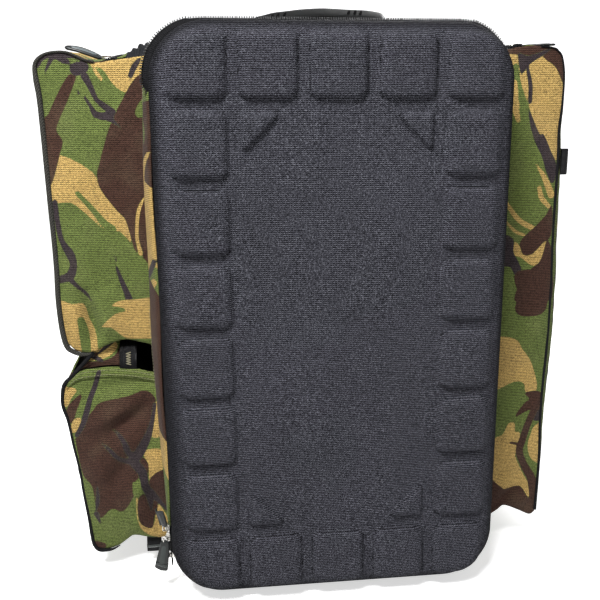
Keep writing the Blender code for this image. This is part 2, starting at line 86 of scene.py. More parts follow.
# Colours as seen in print, 0 to 255
GREEN = (106, 120, 62)
TAN = (200, 167, 100)
BROWN = (74, 50, 40)
BLACKISH = (62, 53, 56)


def linear(colour, gain=1.0):
    """A printed colour as the linear RGBA a shader takes."""
    shares = [value / 255 for value in colour]
    made = [s / 12.92 if s <= 0.04045 else ((s + 0.055) / 1.055) ** 2.4 for s in shares]
    return (*[min(1.0, gain * s) for s in made], 1.0)


# ---------------------------------------------------------------- materials


class Shader:
    """A Principled material whose nodes are made by short calls."""

    def __init__(self, name, **values):
        self.material = bpy.data.materials.new(name)
        self.material.use_nodes = True
        self.tree = self.material.node_tree
        self.bsdf = next(n for n in self.tree.nodes if n.type == "BSDF_PRINCIPLED")
        for socket, value in values.items():
            self.bsdf.inputs[socket.replace("_", " ")].default_value = value

    def node(self, kind, **settings):
        made = self.tree.nodes.new(kind)
        for key, value in settings.items():
            setattr(made, key, value)
        return made

    def put(self, socket, value):
        if isinstance(value, bpy.types.NodeSocket):
            self.tree.links.new(value, socket)
        else:
            socket.default_value = value

    def math(self, operation, a, b=0.0, c=0.0):
        made = self.node("ShaderNodeMath", operation=operation)
        for socket, value in zip(made.inputs, (a, b, c)):
            self.put(socket, value)
        return made.outputs[0]

    def mix(self, share, a, b):
        made = self.node("ShaderNodeMix", data_type="RGBA")
        self.put(made.inputs["Factor"], share)
        self.put(made.inputs[6], a)
        self.put(made.inputs[7], b)
        return made.outputs[2]

    def ramp(self, value, low, high, to_low=0.0, to_high=1.0):
        made = self.node("ShaderNodeMapRange", interpolation_type="SMOOTHSTEP")
        limits = {"Value": value, "From Min": low, "From Max": high, "To Min": to_low, "To Max": to_high}
        for key, number in limits.items():
            self.put(made.inputs[key], number)
        return made.outputs[0]

    def coordinates(self, kind):
        return self.node("ShaderNodeTexCoord").outputs[kind]

    def split(self, vector):
        made = self.node("ShaderNodeSeparateXYZ")
        self.put(made.inputs[0], vector)
        return made.outputs

    def noise(self, scale, detail=2.0, roughness=0.5, stretch=None):
        vector = self.coordinates("Object")
        if stretch:
            mapped = self.node("ShaderNodeMapping")
            self.put(mapped.inputs["Vector"], vector)
            mapped.inputs["Scale"].default_value = stretch
            vector = mapped.outputs[0]
        made = self.node("ShaderNodeTexNoise")
        self.put(made.inputs["Vector"], vector)
        made.inputs["Scale"].default_value = scale
        made.inputs["Detail"].default_value = detail
        made.inputs["Roughness"].default_value = roughness
        return made.outputs["Fac"]

    def attribute(self, name):
        return self.node("ShaderNodeAttribute", attribute_name=name).outputs["Fac"]

    def wave(self, coordinate, pitch):
        """A sine of that pitch along a coordinate, from -1 to 1."""
        return self.math("SINE", self.math("MULTIPLY", coordinate, TURN / pitch))

    def colour(self, value):
        self.put(self.bsdf.inputs["Base Color"], value)

    def rough(self, value):
        self.put(self.bsdf.inputs["Roughness"], value)

    def bump(self, height, distance, strength=1.0):
        made = self.node("ShaderNodeBump")
        made.inputs["Distance"].default_value = distance
        made.inputs["Strength"].default_value = strength
        self.put(made.inputs["Height"], height)
        self.put(self.bsdf.inputs["Normal"], made.outputs[0])

    def shade(self, colour, height, share):
        """Painted shade and highlight: the colour made darker in the hollows of a height from 0 to 1, and lighter on
        its tops.
        """
        factor = self.ramp(height, 0.0, 1.0, 1.0 - share, 1.0 + share)
        made = self.node("ShaderNodeVectorMath", operation="SCALE")
        self.put(made.inputs[0], colour)
        self.put(made.inputs["Scale"], factor)
        return made.outputs[0]


def weave_height(shader, yarn, rib, kind="UV", uneven=1.3):
    """Height from 0 to 1 of a plain weave whose weft shows as fine ribs, with uneven yarn."""
    axes = shader.split(shader.coordinates(kind))
    if kind == "UV":
        across, along = axes[0], axes[1]
    else:
        across, along = shader.math("ADD", axes[0], axes[1]), axes[2]
    ribs = shader.wave(along, rib)
    plain = shader.math("MULTIPLY", shader.wave(across, yarn), ribs)
    grain = shader.noise(620.0, 1.0)
    height = shader.math("MULTIPLY_ADD", plain, 0.34, 0.5)
    height = shader.math("MULTIPLY_ADD", ribs, 0.34, height)
    return shader.math("ADD", height, shader.math("MULTIPLY_ADD", grain, uneven, -0.5 * uneven))


PRINT = 0.435  # albedo of the printed colours, as a share of how they look under this light
DEEP = 0.42  # the same for the black and grey materials


def camo_material():
    """Printed canvas: its colours meet where the camo fields change sign."""
    s = Shader("camo_canvas", Roughness=0.85, Sheen_Weight=0.03, Sheen_Roughness=0.5, Specular_IOR_Level=0.10)
    wobble = s.math("MULTIPLY_ADD", s.noise(700.0, 1.0), 0.0011, -0.00055)
    patchy = s.noise(9.0, 3.0)
    colour = s.mix(patchy, linear(GREEN, 0.88 * PRINT), linear(GREEN, 1.15 * PRINT))
    for name, print_colour in (("tan", TAN), ("brown", BROWN), ("black", BLACKISH)):
        edge = s.math("ADD", s.attribute("camo_" + name), wobble)
        share = s.ramp(edge, -0.0005, 0.0005, 1.0, 0.0)
        colour = s.mix(share, colour, linear(print_colour, PRINT))
    height = weave_height(s, 0.0026, 0.0020)
    faded = s.mix(s.ramp(s.noise(26.0, 4.0), 0.45, 0.75, 0.0, 0.10), colour, linear((150, 140, 110), PRINT))
    s.colour(s.shade(faded, height, 0.70))
    s.rough(s.ramp(height, 0.0, 1.0, 0.92, 0.78))
    s.bump(height, 0.0005, 0.8)
    return s.material


def woven_material(name, colour, yarn, rib, kind="UV", share=0.2, roughness=0.85):
    """Plain cloth or tape, woven of yarns that wide with ribs that far apart."""
    s = Shader(name, Roughness=roughness, Specular_IOR_Level=0.04)
    height = weave_height(s, yarn, rib, kind)
    base = s.mix(s.noise(14.0, 3.0), linear(colour, 0.85 * DEEP), linear(colour, 1.15 * DEEP))
    s.colour(s.shade(base, height, share))
    s.rough(s.ramp(height, 0.0, 1.0, roughness + 0.06, roughness - 0.08))
    s.bump(height, 0.0005, 0.9)
    return s.material


def moulded_material():
    """Charcoal cloth laminated on the moulded lid, with pale flecks of yarn and fine level ribs."""
    s = Shader("moulded_cloth", Roughness=0.80, Specular_IOR_Level=0.02)
    height = weave_height(s, 0.0027, 0.0021, "UV", 1.5)
    base = s.mix(s.noise(7.0, 3.0), linear((62, 62, 68), 0.37), linear((70, 70, 78), 0.42))
    flecks = s.ramp(s.noise(820.0, 0.0, 0.5, (1.0, 1.0, 1.4)), 0.50, 0.70)
    base = s.mix(s.math("MULTIPLY", flecks, 0.5), base, linear((116, 117, 125), 0.46))
    # Painted shade: near-black mixed in along the lid's edges and over its side walls, in a band that widens low down
    # and most on the left.
    painted_edge_shade = s.ramp(s.attribute("worn"), 0.0, 1.0, 0.0, 0.80)
    base = s.mix(painted_edge_shade, base, linear((30, 30, 32), 0.35))
    # Painted shade at the pads' feet, darkest a little above each foot.
    crease = s.ramp(s.attribute("crease"), 0.0, 1.0, 0.0, 0.85)
    base = s.mix(crease, base, linear((20, 20, 22), 0.35))
    s.colour(s.shade(base, height, 0.85))
    s.rough(s.ramp(height, 0.0, 1.0, 0.86, 0.70))
    s.bump(height, 0.0006, 0.8)
    return s.material


def webbing_material(name="black_webbing", colour=(34, 34, 36), glossy=0.55, share=0.45, rows_pitch=0.0021):
    """Nylon webbing: a herringbone whose rows cross the strap."""
    s = Shader(name, Roughness=glossy, Specular_IOR_Level=0.1)
    across, along, _ = s.split(s.coordinates("UV"))
    zig = s.math("PINGPONG", across, 0.0040)
    rows = s.wave(s.math("ADD", along, zig), rows_pitch)
    cords = s.wave(across, 0.0016)
    height = s.math("MULTIPLY_ADD", rows, 0.28, 0.5)
    height = s.math("MULTIPLY_ADD", cords, 0.14, height)
    fuzz = s.noise(520.0, 2.0)
    base = s.mix(fuzz, linear(colour, 0.5 * DEEP), linear(colour, 1.6 * DEEP))
    s.colour(s.shade(base, height, share))
    s.rough(s.ramp(height, 0.0, 1.0, glossy + 0.12, glossy - 0.1))
    s.bump(height, 0.0006, 0.9)
    return s.material


def rubber_material():
    s = Shader("moulded_rubber", Roughness=0.5, Specular_IOR_Level=0.2)
    mottled = s.noise(60.0, 4.0)
    base = s.mix(mottled, linear((58, 63, 61), DEEP), linear((78, 84, 82), DEEP))
    scuffs = s.ramp(s.noise(240.0, 3.0, 0.7, (1.0, 1.0, 0.25)), 0.62, 0.75, 0.0, 0.3)
    s.colour(s.mix(scuffs, base, linear((120, 124, 124))))
    s.rough(s.ramp(mottled, 0.3, 0.7, 0.42, 0.6))
    s.bump(s.noise(1400.0, 2.0), 0.0001, 0.5)
    return s.material


def plastic_material(name="black_acetal", colour=(30, 31, 32), gloss=0.25):
    s = Shader(name, Roughness=0.38, Specular_IOR_Level=gloss)
    mottled = s.noise(90.0, 3.0)
    scuffs = s.ramp(s.noise(300.0, 4.0, 0.7, (1.0, 1.0, 0.3)), 0.60, 0.78, 0.0, 0.35)
    base = s.mix(mottled, linear(colour, 0.8 * DEEP), linear(colour, 1.3 * DEEP))
    s.colour(s.mix(scuffs, base, linear((85, 85, 85), DEEP)))
    s.rough(s.ramp(mottled, 0.3, 0.7, 0.32, 0.5))
    s.bump(s.noise(1800.0, 2.0), 0.00006, 0.5)
    return s.material


def metal_material():
    s = Shader("nickel_plate", Metallic=1.0, Roughness=0.28)
    cloudy = s.noise(400.0, 3.0)
    s.colour(s.mix(cloudy, linear((176, 174, 168)), linear((222, 220, 214))))
    s.rough(s.ramp(cloudy, 0.3, 0.7, 0.2, 0.42))
    s.bump(s.noise(900.0, 2.0), 0.00005, 0.4)
    return s.material


def coated_material():
    """Tarpaulin base cloth: a soft sheen over a grid of yarns, dusty where it meets the ground."""
    s = Shader("coated_base", Roughness=0.45)
    x, y, z = s.split(s.coordinates("Object"))
    grid = s.math("MULTIPLY", s.wave(x, 0.0024), s.wave(s.math("ADD", y, z), 0.0024))
    height = s.math("MULTIPLY_ADD", grid, 0.3, 0.5)
    dust = s.ramp(s.noise(40.0, 5.0), 0.5, 0.75, 0.0, 0.3)
    base = s.mix(dust, linear((38, 39, 40)), linear((92, 88, 80)))
    s.colour(s.shade(base, height, 0.15))
    s.rough(s.ramp(dust, 0.0, 0.3, 0.40, 0.75))
    s.bump(height, 0.0004, 0.6)
    return s.material


def board_material():
    """Grey polyethylene sheet with a fine orange-peel surface."""
    s = Shader("stiffener_board", Roughness=0.55)
    cloudy = s.noise(30.0, 4.0)
    s.colour(s.mix(cloudy, linear((70, 72, 74)), linear((92, 94, 96))))
    s.rough(s.ramp(cloudy, 0.3, 0.7, 0.45, 0.65))
    s.bump(s.noise(700.0, 3.0), 0.00015, 0.6)
    return s.material


def air_mesh_material():
    """Spacer mesh: rows of small holes through a knitted face."""
    s = Shader("air_mesh", Roughness=0.8, Sheen_Weight=0.2)
    x, _, z = s.split(s.coordinates("Object"))
    pitch = 0.0032
    rows = s.wave(s.math("MULTIPLY_ADD", z, 1.0, s.math("MULTIPLY", x, 0.577)), pitch)
    other = s.wave(s.math("MULTIPLY_ADD", z, 1.0, s.math("MULTIPLY", x, -0.577)), pitch)
    third = s.wave(x, pitch * 0.866)
    lattice = s.math("ADD", s.math("ADD", rows, other), third)
    hole = s.ramp(lattice, -0.9, 0.3)
    fuzz = s.noise(800.0, 2.0)
    base = s.mix(fuzz, linear((34, 35, 37)), linear((52, 54, 57)))
    # The holes painted near black: painted shade inside them.
    s.colour(s.mix(hole, linear((12, 12, 13)), base))
    s.bump(hole, 0.0008, 0.8)
    return s.material


def net_material():
    """Open knitted net over the lid's own pocket, drawn as holes in a dark thread."""
    s = Shader("pocket_net", Roughness=0.8)
    across, along, _ = s.split(s.coordinates("UV"))
    first = s.wave(s.math("ADD", across, along), 0.0042)
    second = s.wave(s.math("SUBTRACT", across, along), 0.0042)
    hole = s.math("GREATER_THAN", s.math("ADD", first, second), 0.55)
    s.colour(s.mix(s.noise(300.0, 2.0), linear((24, 24, 26)), linear((50, 50, 53))))
    s.put(s.bsdf.inputs["Alpha"], s.math("SUBTRACT", 1.0, hole))
    s.bump(s.math("ADD", first, second), 0.0005, 0.6)
    return s.material


def thread_material():
    s = Shader("sewing_thread", Roughness=0.6)
    twist = s.wave(s.split(s.coordinates("Object"))[0], 0.0006)
    base = s.mix(s.noise(500.0, 1.0), linear((88, 84, 66)), linear((126, 120, 96)))
    s.colour(base)
    s.bump(twist, 0.0001, 0.5)
    return s.material


MAT = {
    "camo": camo_material(),
    "moulded": moulded_material(),
    "tape": woven_material("zip_tape", (34, 34, 36), 0.0020, 0.0018, share=0.5),
    "webbing": webbing_material(),
    "binding": woven_material("binding_tape", (36, 36, 38), 0.0020, 0.0016, share=0.45),
    "piping": webbing_material("piping_cloth", (66, 65, 60), 0.65, 0.95, 0.0032),
    "liner": woven_material("lining_cloth", (96, 97, 96), 0.0018, 0.0014, share=0.2, roughness=0.6),
    "black_cloth": woven_material("black_cloth", (44, 45, 48), 0.0024, 0.0021, share=0.45),
    "strap_cloth": woven_material("strap_cloth", (42, 43, 46), 0.0024, 0.0020, "Object", share=0.45),
    "air_mesh": air_mesh_material(),
    "net": net_material(),
    "rubber": rubber_material(),
    "zip_coil": plastic_material("zip_coil", (62, 62, 64), 0.15),
    "pale_rubber": plastic_material("pale_rubber", (112, 120, 122)),
    "rim_rubber": plastic_material("rim_rubber", (40, 43, 42)),
    "grip_rubber": plastic_material("grip_rubber", (30, 31, 31), 0.08),
    "gloss_webbing": webbing_material("gloss_webbing", (16, 16, 18), 0.3),
    # Near-black cloth that stands in for shade: painted shade in the lower pocket's mouth and in the grip's slots.
    "dark_lining": woven_material("dark_lining", (14, 14, 15), 0.0010, 0.0016, share=0.2, roughness=0.9),
    "plastic": plastic_material(),
    "teeth": plastic_material("coil_teeth", (48, 48, 50)),
    "metal": metal_material(),
    "coated": coated_material(),
    "board": board_material(),
    "thread": thread_material(),
    "dark_thread": plastic_material("dark_thread", (58, 60, 62)),
}

# ---------------------------------------------------------------- mesh making


def fill_mesh(mesh, uvs, fields):
    """Gives a mesh its UVs and its float attributes, from one value per point."""
    corner = np.empty(len(mesh.loops), np.int32)
    mesh.loops.foreach_get("vertex_index", corner)
    layer = mesh.uv_layers.new(name="UVMap")
    layer.data.foreach_set("uv", np.asarray(uvs, np.float32)[corner].ravel())
    for key, values in fields.items():
        attribute = mesh.attributes.new(key, "FLOAT", "POINT")
        attribute.data.foreach_set("value", np.asarray(values, np.float32))


class Build:
    """Collects surfaces and makes them one named piece that rides on a body."""

    def __init__(self):
        self.points, self.faces, self.uvs, self.fields = [], [], [], []
        self.count = 0

    def add(self, points, faces, uvs=None, fields=None):
        points = np.asarray(points, float).reshape(-1, 3)
        uvs = np.zeros((len(points), 2)) if uvs is None else np.asarray(uvs, float).reshape(-1, 2)
        self.points.append(points)
        self.uvs.append(uvs)
        self.fields.append(fields or {})
        for face in faces:
            self.faces.append([int(i) + self.count for i in face])
        self.count += len(points)
        return self

    def piece(self, name, material, body, slot, replaced=None, sharp=None):
        """The named piece, in its materials, on a body if it rides on just one, in place of that CAD node."""
        mesh = bpy.data.meshes.new(name)
        mesh.from_pydata(np.concatenate(self.points).tolist(), [], self.faces)
        keys = sorted({key for fields in self.fields for key in fields})
        joined = {}
        for key in keys:
            parts = [f.get(key, np.ones(len(p))) for f, p in zip(self.fields, self.points)]
            joined[key] = np.concatenate(parts)
        fill_mesh(mesh, np.concatenate(self.uvs), joined)
        materials = [material] if isinstance(material, str) else material
        for key in materials:
            mesh.materials.append(MAT[key])
        mesh.shade_smooth()
        if sharp:
            mesh.set_sharp_from_angle(angle=math.radians(sharp))
        mesh.update()
        obj = bpy.data.objects.new(name, mesh)
        bpy.context.scene.collection.objects.link(obj)
        if body:
            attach(obj, body)
        if replaced:
            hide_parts(replaced)
        return obj


def thicken(obj, thickness, offset=-1.0, inner=0):
    """Gives a sheet its thickness; the new inner side takes the material slot that many places on."""
    made = obj.modifiers.new("Thickness", "SOLIDIFY")
    made.thickness = thickness
    made.offset = offset
    made.material_offset = inner


def grid_faces(rows, columns, wrap_rows=False, wrap_columns=False):
    index = np.arange(rows * columns).reshape(rows, columns)
    if wrap_rows:
        index = np.vstack([index, index[:1]])
    if wrap_columns:
        index = np.hstack([index, index[:, :1]])
    quads = np.stack([index[:-1, :-1], index[1:, :-1], index[1:, 1:], index[:-1, 1:]], axis=-1)
    return quads.reshape(-1, 4)


def lengths(points):
    """Distance run at each point of a line."""
    steps = np.linalg.norm(np.diff(points, axis=0), axis=1)
    return np.concatenate([[0.0], np.cumsum(steps)])


def resample(points, count):
    """That many evenly spaced points on a line."""
    points = np.asarray(points, float)
    run = lengths(points)
    wanted = np.linspace(0, run[-1], count)
    return np.stack([np.interp(wanted, run, points[:, k]) for k in range(points.shape[1])], axis=1)


def smooth_curve(points, parts=8, closed=False):
    """A Catmull-Rom curve through points."""
    p = np.asarray(points, float)
    if closed:
        p = np.vstack([p[-1], p, p[0], p[1]])
    else:
        p = np.vstack([2 * p[0] - p[1], p, 2 * p[-1] - p[-2]])
    made = []
    t = np.linspace(0, 1, parts, endpoint=False)[:, None]
    for a, b, c, d in zip(p, p[1:], p[2:], p[3:]):
        made.append(
            0.5 * (2 * b + (c - a) * t + (2 * a - 5 * b + 4 * c - d) * t**2 + (3 * b - a - 3 * c + d) * t**3)
        )
    if not closed:
        made.append(p[-2:-1])
    return np.vstack(made)


def even_curve(points, step):
    made = smooth_curve(points)
    return resample(made, max(3, int(lengths(made)[-1] / step) + 1))


def superellipse(width, height, power=2.0, count=16):
    """A closed section, counterclockwise, from a circle at power 2 to nearly a rectangle at 8."""
    angle = np.arange(count) * TURN / count
    c, s = np.cos(angle), np.sin(angle)
    x = np.sign(c) * np.abs(c) ** (2 / power) * width / 2
    y = np.sign(s) * np.abs(s) ** (2 / power) * height / 2
    return np.stack([x, y], axis=1)


def frames(points, across):
    """Unit tangent, across and out vectors along a line."""
    tangent = np.gradient(points, axis=0)
    tangent /= np.linalg.norm(tangent, axis=1)[:, None] + 1e-12
    across = np.broadcast_to(np.asarray(across, float), points.shape)
    across = across - tangent * np.sum(across * tangent, axis=1)[:, None]
    across = across / (np.linalg.norm(across, axis=1)[:, None] + 1e-12)
    return tangent, across, np.cross(across, tangent)


def sweep(points, across, section, scale_across=1.0, scale_out=1.0, cap=True):
    """Sweeps a closed flat section along a line. Its first axis lies along across."""
    points = np.asarray(points, float)
    n, m = len(points), len(section)
    _, side, out = frames(points, across)
    sx = np.broadcast_to(np.asarray(scale_across, float), n)
    sy = np.broadcast_to(np.asarray(scale_out, float), n)
    grid = (
        points[:, None]
        + side[:, None] * (section[None, :, 0] * sx[:, None])[..., None]
        + out[:, None] * (section[None, :, 1] * sy[:, None])[..., None]
    )
    run = lengths(points)
    around = lengths(np.vstack([section, section[:1]]))[:m]
    uvs = np.stack(np.broadcast_arrays(around[None, :], run[:, None]), axis=-1)
    faces = [list(face) for face in grid_faces(n, m, wrap_columns=True)]
    if cap:
        faces.append(list(range(m))[::-1])
        faces.append([(n - 1) * m + k for k in range(m)])
    return grid.reshape(-1, 3), faces, uvs.reshape(-1, 2)


def rounded_ends(count, share=0.5, power=2.0):
    """Scales that close a sweep of that many points in a round at each end."""
    t = np.linspace(-1, 1, count)
    edge = np.clip((np.abs(t) - (1 - share)) / share, 0, 1)
    return np.maximum((1 - edge**power) ** (1 / power), 0.12)


def bar(start, end, across, width, height, power=3.5, count=7, sides=12, share=0.35):
    """A short bar with rounded ends and edges."""
    line = np.linspace(start, end, count)
    scale = rounded_ends(count, share)
    return sweep(line, across, superellipse(width, height, power, sides), scale, scale)


def swept(name, material, body, slot, line, across, size, *scales, replaced=None, cap=True):
    """A piece that is one sweep of a superellipse, whose size is its width, height, power and count."""
    build = Build().add(*sweep(line, across, superellipse(*size), *scales, cap=cap))
    return build.piece(name, material, body, slot, replaced)


def stitches(name, line, out, body, pitch, length, material="thread", gauge=0.0007):
    """A row of thread stitches lying on a surface whose normal is out."""
    line = resample(smooth_curve(line, 4) if len(line) > 2 else line, 400)
    run = lengths(line)
    build = Build()
    direction = np.asarray(out, float)
    for at in np.arange(pitch / 2, run[-1], pitch):
        ends = [np.array([np.interp(at + d, run, line[:, k]) for k in range(3)]) for d in (-length / 2, length / 2)]
        middle = (ends[0] + ends[1]) / 2 + direction * gauge * 0.5
        curve = np.array([ends[0], ends[0] * 0.6 + middle * 0.4, middle, ends[1] * 0.6 + middle * 0.4, ends[1]])
        build.add(*sweep(curve, np.cross(direction, ends[1] - ends[0]), superellipse(gauge, gauge, 2, 5)))
    return build.piece(name, material, body, "binding")


# ---------------------------------------------------------------- camouflage


def polygon_distance(points, outline):
    """Signed distance to a closed outline, negative inside."""
    best = np.full(len(points), 1e9)
    inside = np.zeros(len(points), bool)
    following = np.roll(outline, -1, axis=0)
    for a, b in zip(outline, following):
        edge = b - a
        rel = points - a
        share = np.clip((rel @ edge) / (edge @ edge + 1e-18), 0, 1)
        best = np.minimum(best, np.sum((rel - share[:, None] * edge) ** 2, axis=1))
        crosses = (a[1] > points[:, 1]) != (b[1] > points[:, 1])
        if abs(edge[1]) > 1e-12:
            at = a[0] + edge[0] * (points[:, 1] - a[1]) / edge[1]
            inside ^= crosses & (points[:, 0] < at)
    return np.where(inside, -1, 1) * np.sqrt(best)


def stroke_distance(points, stroke):
    """Signed distance to a brush stroke whose points are (x, z, width)."""
    best = np.full(len(points), 1e9)
    for a, b in zip(stroke, stroke[1:]):
        edge = b[:2] - a[:2]
        rel = points - a[:2]
        share = np.clip((rel @ edge) / (edge @ edge + 1e-18), 0, 1)
        width = a[2] + (b[2] - a[2]) * share
        best = np.minimum(best, np.linalg.norm(rel - share[:, None] * edge, axis=1) - width / 2)
    return best


CAMO_REACH = 0.03  # how far from a shape its distance is worked out


def camo_fields(chart, layers):
    """For each colour but green, how far each chart point is outside its printed area.

    A layer is a colour and its points in millimetres: (x, z) for an outline, (x, z, width) for a brush stroke.
    """
    fields = {key: np.full(len(chart), 0.05) for key in ("tan", "brown", "black")}
    for colour, shape in layers:
        shape = np.asarray(shape, float) * MM
        low, high = shape[:, :2].min(0) - CAMO_REACH, shape[:, :2].max(0) + CAMO_REACH
        near = np.all((chart > low) & (chart < high), axis=1)
        if not near.any():
            continue
        distance = np.full(len(chart), CAMO_REACH)
        if shape.shape[1] == 2:
            distance[near] = polygon_distance(chart[near], smooth_curve(shape, 3, closed=True))
        else:
            distance[near] = stroke_distance(chart[near], smooth_curve(shape, 4))
        for key in fields:
            if key == colour:
                fields[key] = np.minimum(fields[key], distance)
            else:
                fields[key] = np.maximum(fields[key], -distance)
    return {"camo_" + key: values for key, values in fields.items()}


def random_layers(seed, x_range, z_range):
    """Brush strokes in the print's manner for cloth that has no strokes of its own, in millimetres."""
    draw = np.random.default_rng(seed)
    layers = []
    x0, x1 = (value / MM for value in x_range)
    z0, z1 = (value / MM for value in z_range)
    cell = 88
    for colour, widths, share in (("tan", (16, 52), 1.0), ("brown", (16, 58), 1.0), ("green", (5, 18), 0.6)):
        for x in np.arange(x0, x1 + cell, cell):
            for z in np.arange(z0, z1 + cell, cell):
                if draw.random() > share:
                    continue
                start = np.array([x, z]) + draw.uniform(-cell / 2, cell / 2, 2)
                angle = draw.uniform(0.15, 1.3) * draw.choice([-1, 1])
                turn = draw.uniform(-0.5, 0.5)
                length = draw.uniform(70, 130)
                points = []
                for k, taper in enumerate((0.25, 0.8, 1.0, 0.75, 0.2)):
                    heading = angle + turn * k / 2
                    start = start + np.array([math.cos(heading), math.sin(heading)]) * length / 5
                    points.append((*start, draw.uniform(*widths) * taper))
                layers.append((colour, points))
    for x in np.arange(x0, x1 + cell, cell):
        for z in np.arange(z0, z1 + cell, cell):
            start = np.array([x, z]) + draw.uniform(-cell / 2, cell / 2, 2)
            angle = draw.uniform(0.7, 2.2)
            points = []
            for k, width in enumerate((2, 6, 11, 8, 5, 1)):
                heading = angle + 0.5 * math.sin(2.1 * k + x)
                start = start + np.array([math.cos(heading), math.sin(heading)]) * 15
                points.append((*start, width * draw.uniform(0.7, 1.3)))
            layers.append(("black", points))
            branch = [points[2], (points[2][0] + 13, points[2][1] + 9, 5), (points[2][0] + 24, points[2][1] + 22, 1)]
            layers.append(("black", branch))
    return layers


LEFT_UPPER_PRINT = [
    ("tan", [(-257, 598), (-233, 601), (-190, 607), (-190, 592), (-212, 577), (-218, 568), (-231, 577), (-241, 592)]),
    ("tan", [(-252, 596, 2), (-247, 588, 4), (-242, 581, 3)]),
    ("tan", [
        (-291, 503), (-258, 485), (-250, 465), (-234, 442), (-225, 431), (-219, 405), (-232, 419), (-246, 419),
        (-266, 438), (-283, 452), (-303, 452), (-312, 470), (-300, 490),
    ]),
    ("green", [(-275, 462, 5), (-261, 445, 6), (-249, 429, 8), (-241, 422, 10)]),
    ("brown", [
        (-275, 587), (-268, 586), (-277, 564), (-287, 544), (-293, 529), (-287, 518), (-291, 504), (-303, 472),
        (-312, 474), (-313, 508), (-307, 539), (-301, 545), (-291, 564), (-281, 580),
    ]),
    ("brown", [
        (-185, 591), (-206, 584), (-223, 558), (-237, 532), (-251, 490), (-253, 479), (-250, 465), (-234, 442),
        (-225, 431), (-218, 399), (-211, 393), (-196, 378), (-185, 428), (-185, 475), (-196, 538), (-205, 541),
        (-209, 547), (-202, 560), (-192, 565),
    ]),
    ("tan", [(-204, 456, 2), (-210, 444, 4), (-213, 429, 4), (-214, 410, 4), (-211, 394, 5)]),
    ("black", [
        (-308, 595, 4), (-303, 603, 5), (-293, 607, 6), (-283, 608, 6), (-276, 605, 4), (-269, 604, 3), (-258, 599, 3)
    ]),
    ("black", [(-293, 603, 5), (-298, 594, 3), (-301, 587, 1)]),
    ("black", [(-286, 605, 8), (-280, 601, 7), (-275, 598, 3)]),
    ("black", [(-268, 592, 14), (-261, 594, 12)]),
    ("black", [(-260, 585, 8), (-254, 573, 6), (-249, 561, 5), (-240, 553, 7), (-232, 548, 6)]),
    ("black", [(-261, 563, 3), (-255, 553, 4), (-250, 545, 7), (-237, 543, 8), (-233, 547, 6)]),
    ("black", [(-237, 541, 6), (-229, 535, 3), (-223, 529, 1)]),
    ("black", [(-268, 570, 2.5), (-267, 567, 2.5)]),
    ("black", [(-202, 602, 4), (-208, 594, 6), (-212, 585, 5)]),
    ("black", [
        (-301, 452, 6), (-300, 430, 6), (-297, 410, 6), (-289, 395, 10), (-286, 383, 8), (-290, 371, 10),
        (-298, 367, 9), (-314, 363, 6),
    ]),
    ("black", [(-290, 365, 6), (-281, 355, 4), (-274, 347, 4), (-269, 338, 1)]),
    ("black", [(-240, 392, 2.5), (-239, 386, 2.5)]),
    ("black", [(-239, 379, 3), (-237, 372, 4), (-233, 359, 6), (-229, 348, 7), (-226, 336, 9), (-222, 322, 3)]),
    ("black", [(-220, 318, 4), (-217, 307, 6), (-214, 297, 4)]),
    ("tan", [
        (-312, 340), (-292, 338), (-279, 337), (-275, 320), (-270, 306), (-267, 288), (-269, 268), (-295, 260),
        (-314, 289),
    ]),
    ("green", [(-283, 319, 7), (-281, 307, 10), (-280, 288, 11), (-280, 271, 9)]),
    ("tan", [
        (-192, 340), (-221, 341), (-238, 340), (-247, 335), (-235, 332), (-233, 327), (-244, 325), (-260, 310),
        (-249, 309), (-236, 296), (-224, 294), (-192, 298),
    ]),
]

LEFT_LOWER_PRINT = [
    ("brown", [
        (-299, 180), (-287, 198), (-276, 211), (-267, 220), (-233, 227), (-218, 232), (-208, 228), (-203, 217),
        (-208, 197), (-222, 158), (-216, 142), (-217, 124), (-226, 126), (-233, 117), (-234, 104), (-249, 80),
        (-263, 84), (-275, 72), (-282, 76), (-284, 113), (-294, 128), (-298, 156),
    ]),
    ("brown", [(-290, 230), (-305, 216), (-308, 202), (-301, 193), (-296, 209), (-289, 225)]),
    ("tan", [(-314, 238), (-294, 236), (-301, 225), (-306, 215), (-314, 217)]),
    ("tan", [(-300, 199), (-290, 200), (-297, 184), (-305, 184)]),
    ("tan", [(-203, 220), (-195, 204), (-193, 180), (-210, 175), (-209, 195)]),
    ("tan", [(-222, 158), (-198, 160), (-188, 141), (-200, 133), (-209, 123), (-216, 118), (-216, 142)]),
    ("brown", [(-199, 135), (-190, 115), (-188, 74), (-206, 81), (-211, 89), (-218, 116)]),
    ("tan", [
        (-233, 96), (-230, 96), (-229, 67), (-219, 53), (-212, 66), (-210, 85), (-201, 77), (-190, 38), (-210, 38),
        (-227, 49), (-233, 69),
    ]),
    ("brown", [(-227, 102), (-210, 97), (-209, 79), (-213, 68), (-217, 53), (-229, 61), (-232, 83)]),
    ("green", [(-233, 117, 6), (-233, 106, 6)]),
    ("green", [(-287, 113, 4), (-287, 102, 5)]),
    ("brown", [(-284, 34, 10), (-278, 32, 9)]),
    ("black", [(-267, 256, 5), (-274, 236, 6), (-279, 224, 6), (-284, 208, 7), (-290, 192, 6), (-298, 179, 5)]),
    ("black", [(-258, 187, 1), (-243, 173, 6), (-238, 157, 8), (-231, 149, 9)]),
    ("black", [(-270, 171, 1), (-259, 161, 5), (-248, 148, 6), (-232, 143, 9)]),
    ("black", [
        (-205, 215, 4), (-209, 194, 5), (-215, 176, 9), (-226, 156, 12), (-233, 145, 12), (-224, 132, 11),
        (-221, 113, 9), (-217, 99, 9), (-216, 78, 2),
    ]),
    ("black", [(-217, 103, 11), (-207, 91, 7), (-196, 78, 4)]),
    ("black", [(-278, 114, 2), (-279, 95, 5), (-282, 82, 2)]),
    ("black", [(-282, 77, 7), (-278, 64, 2)]),
]

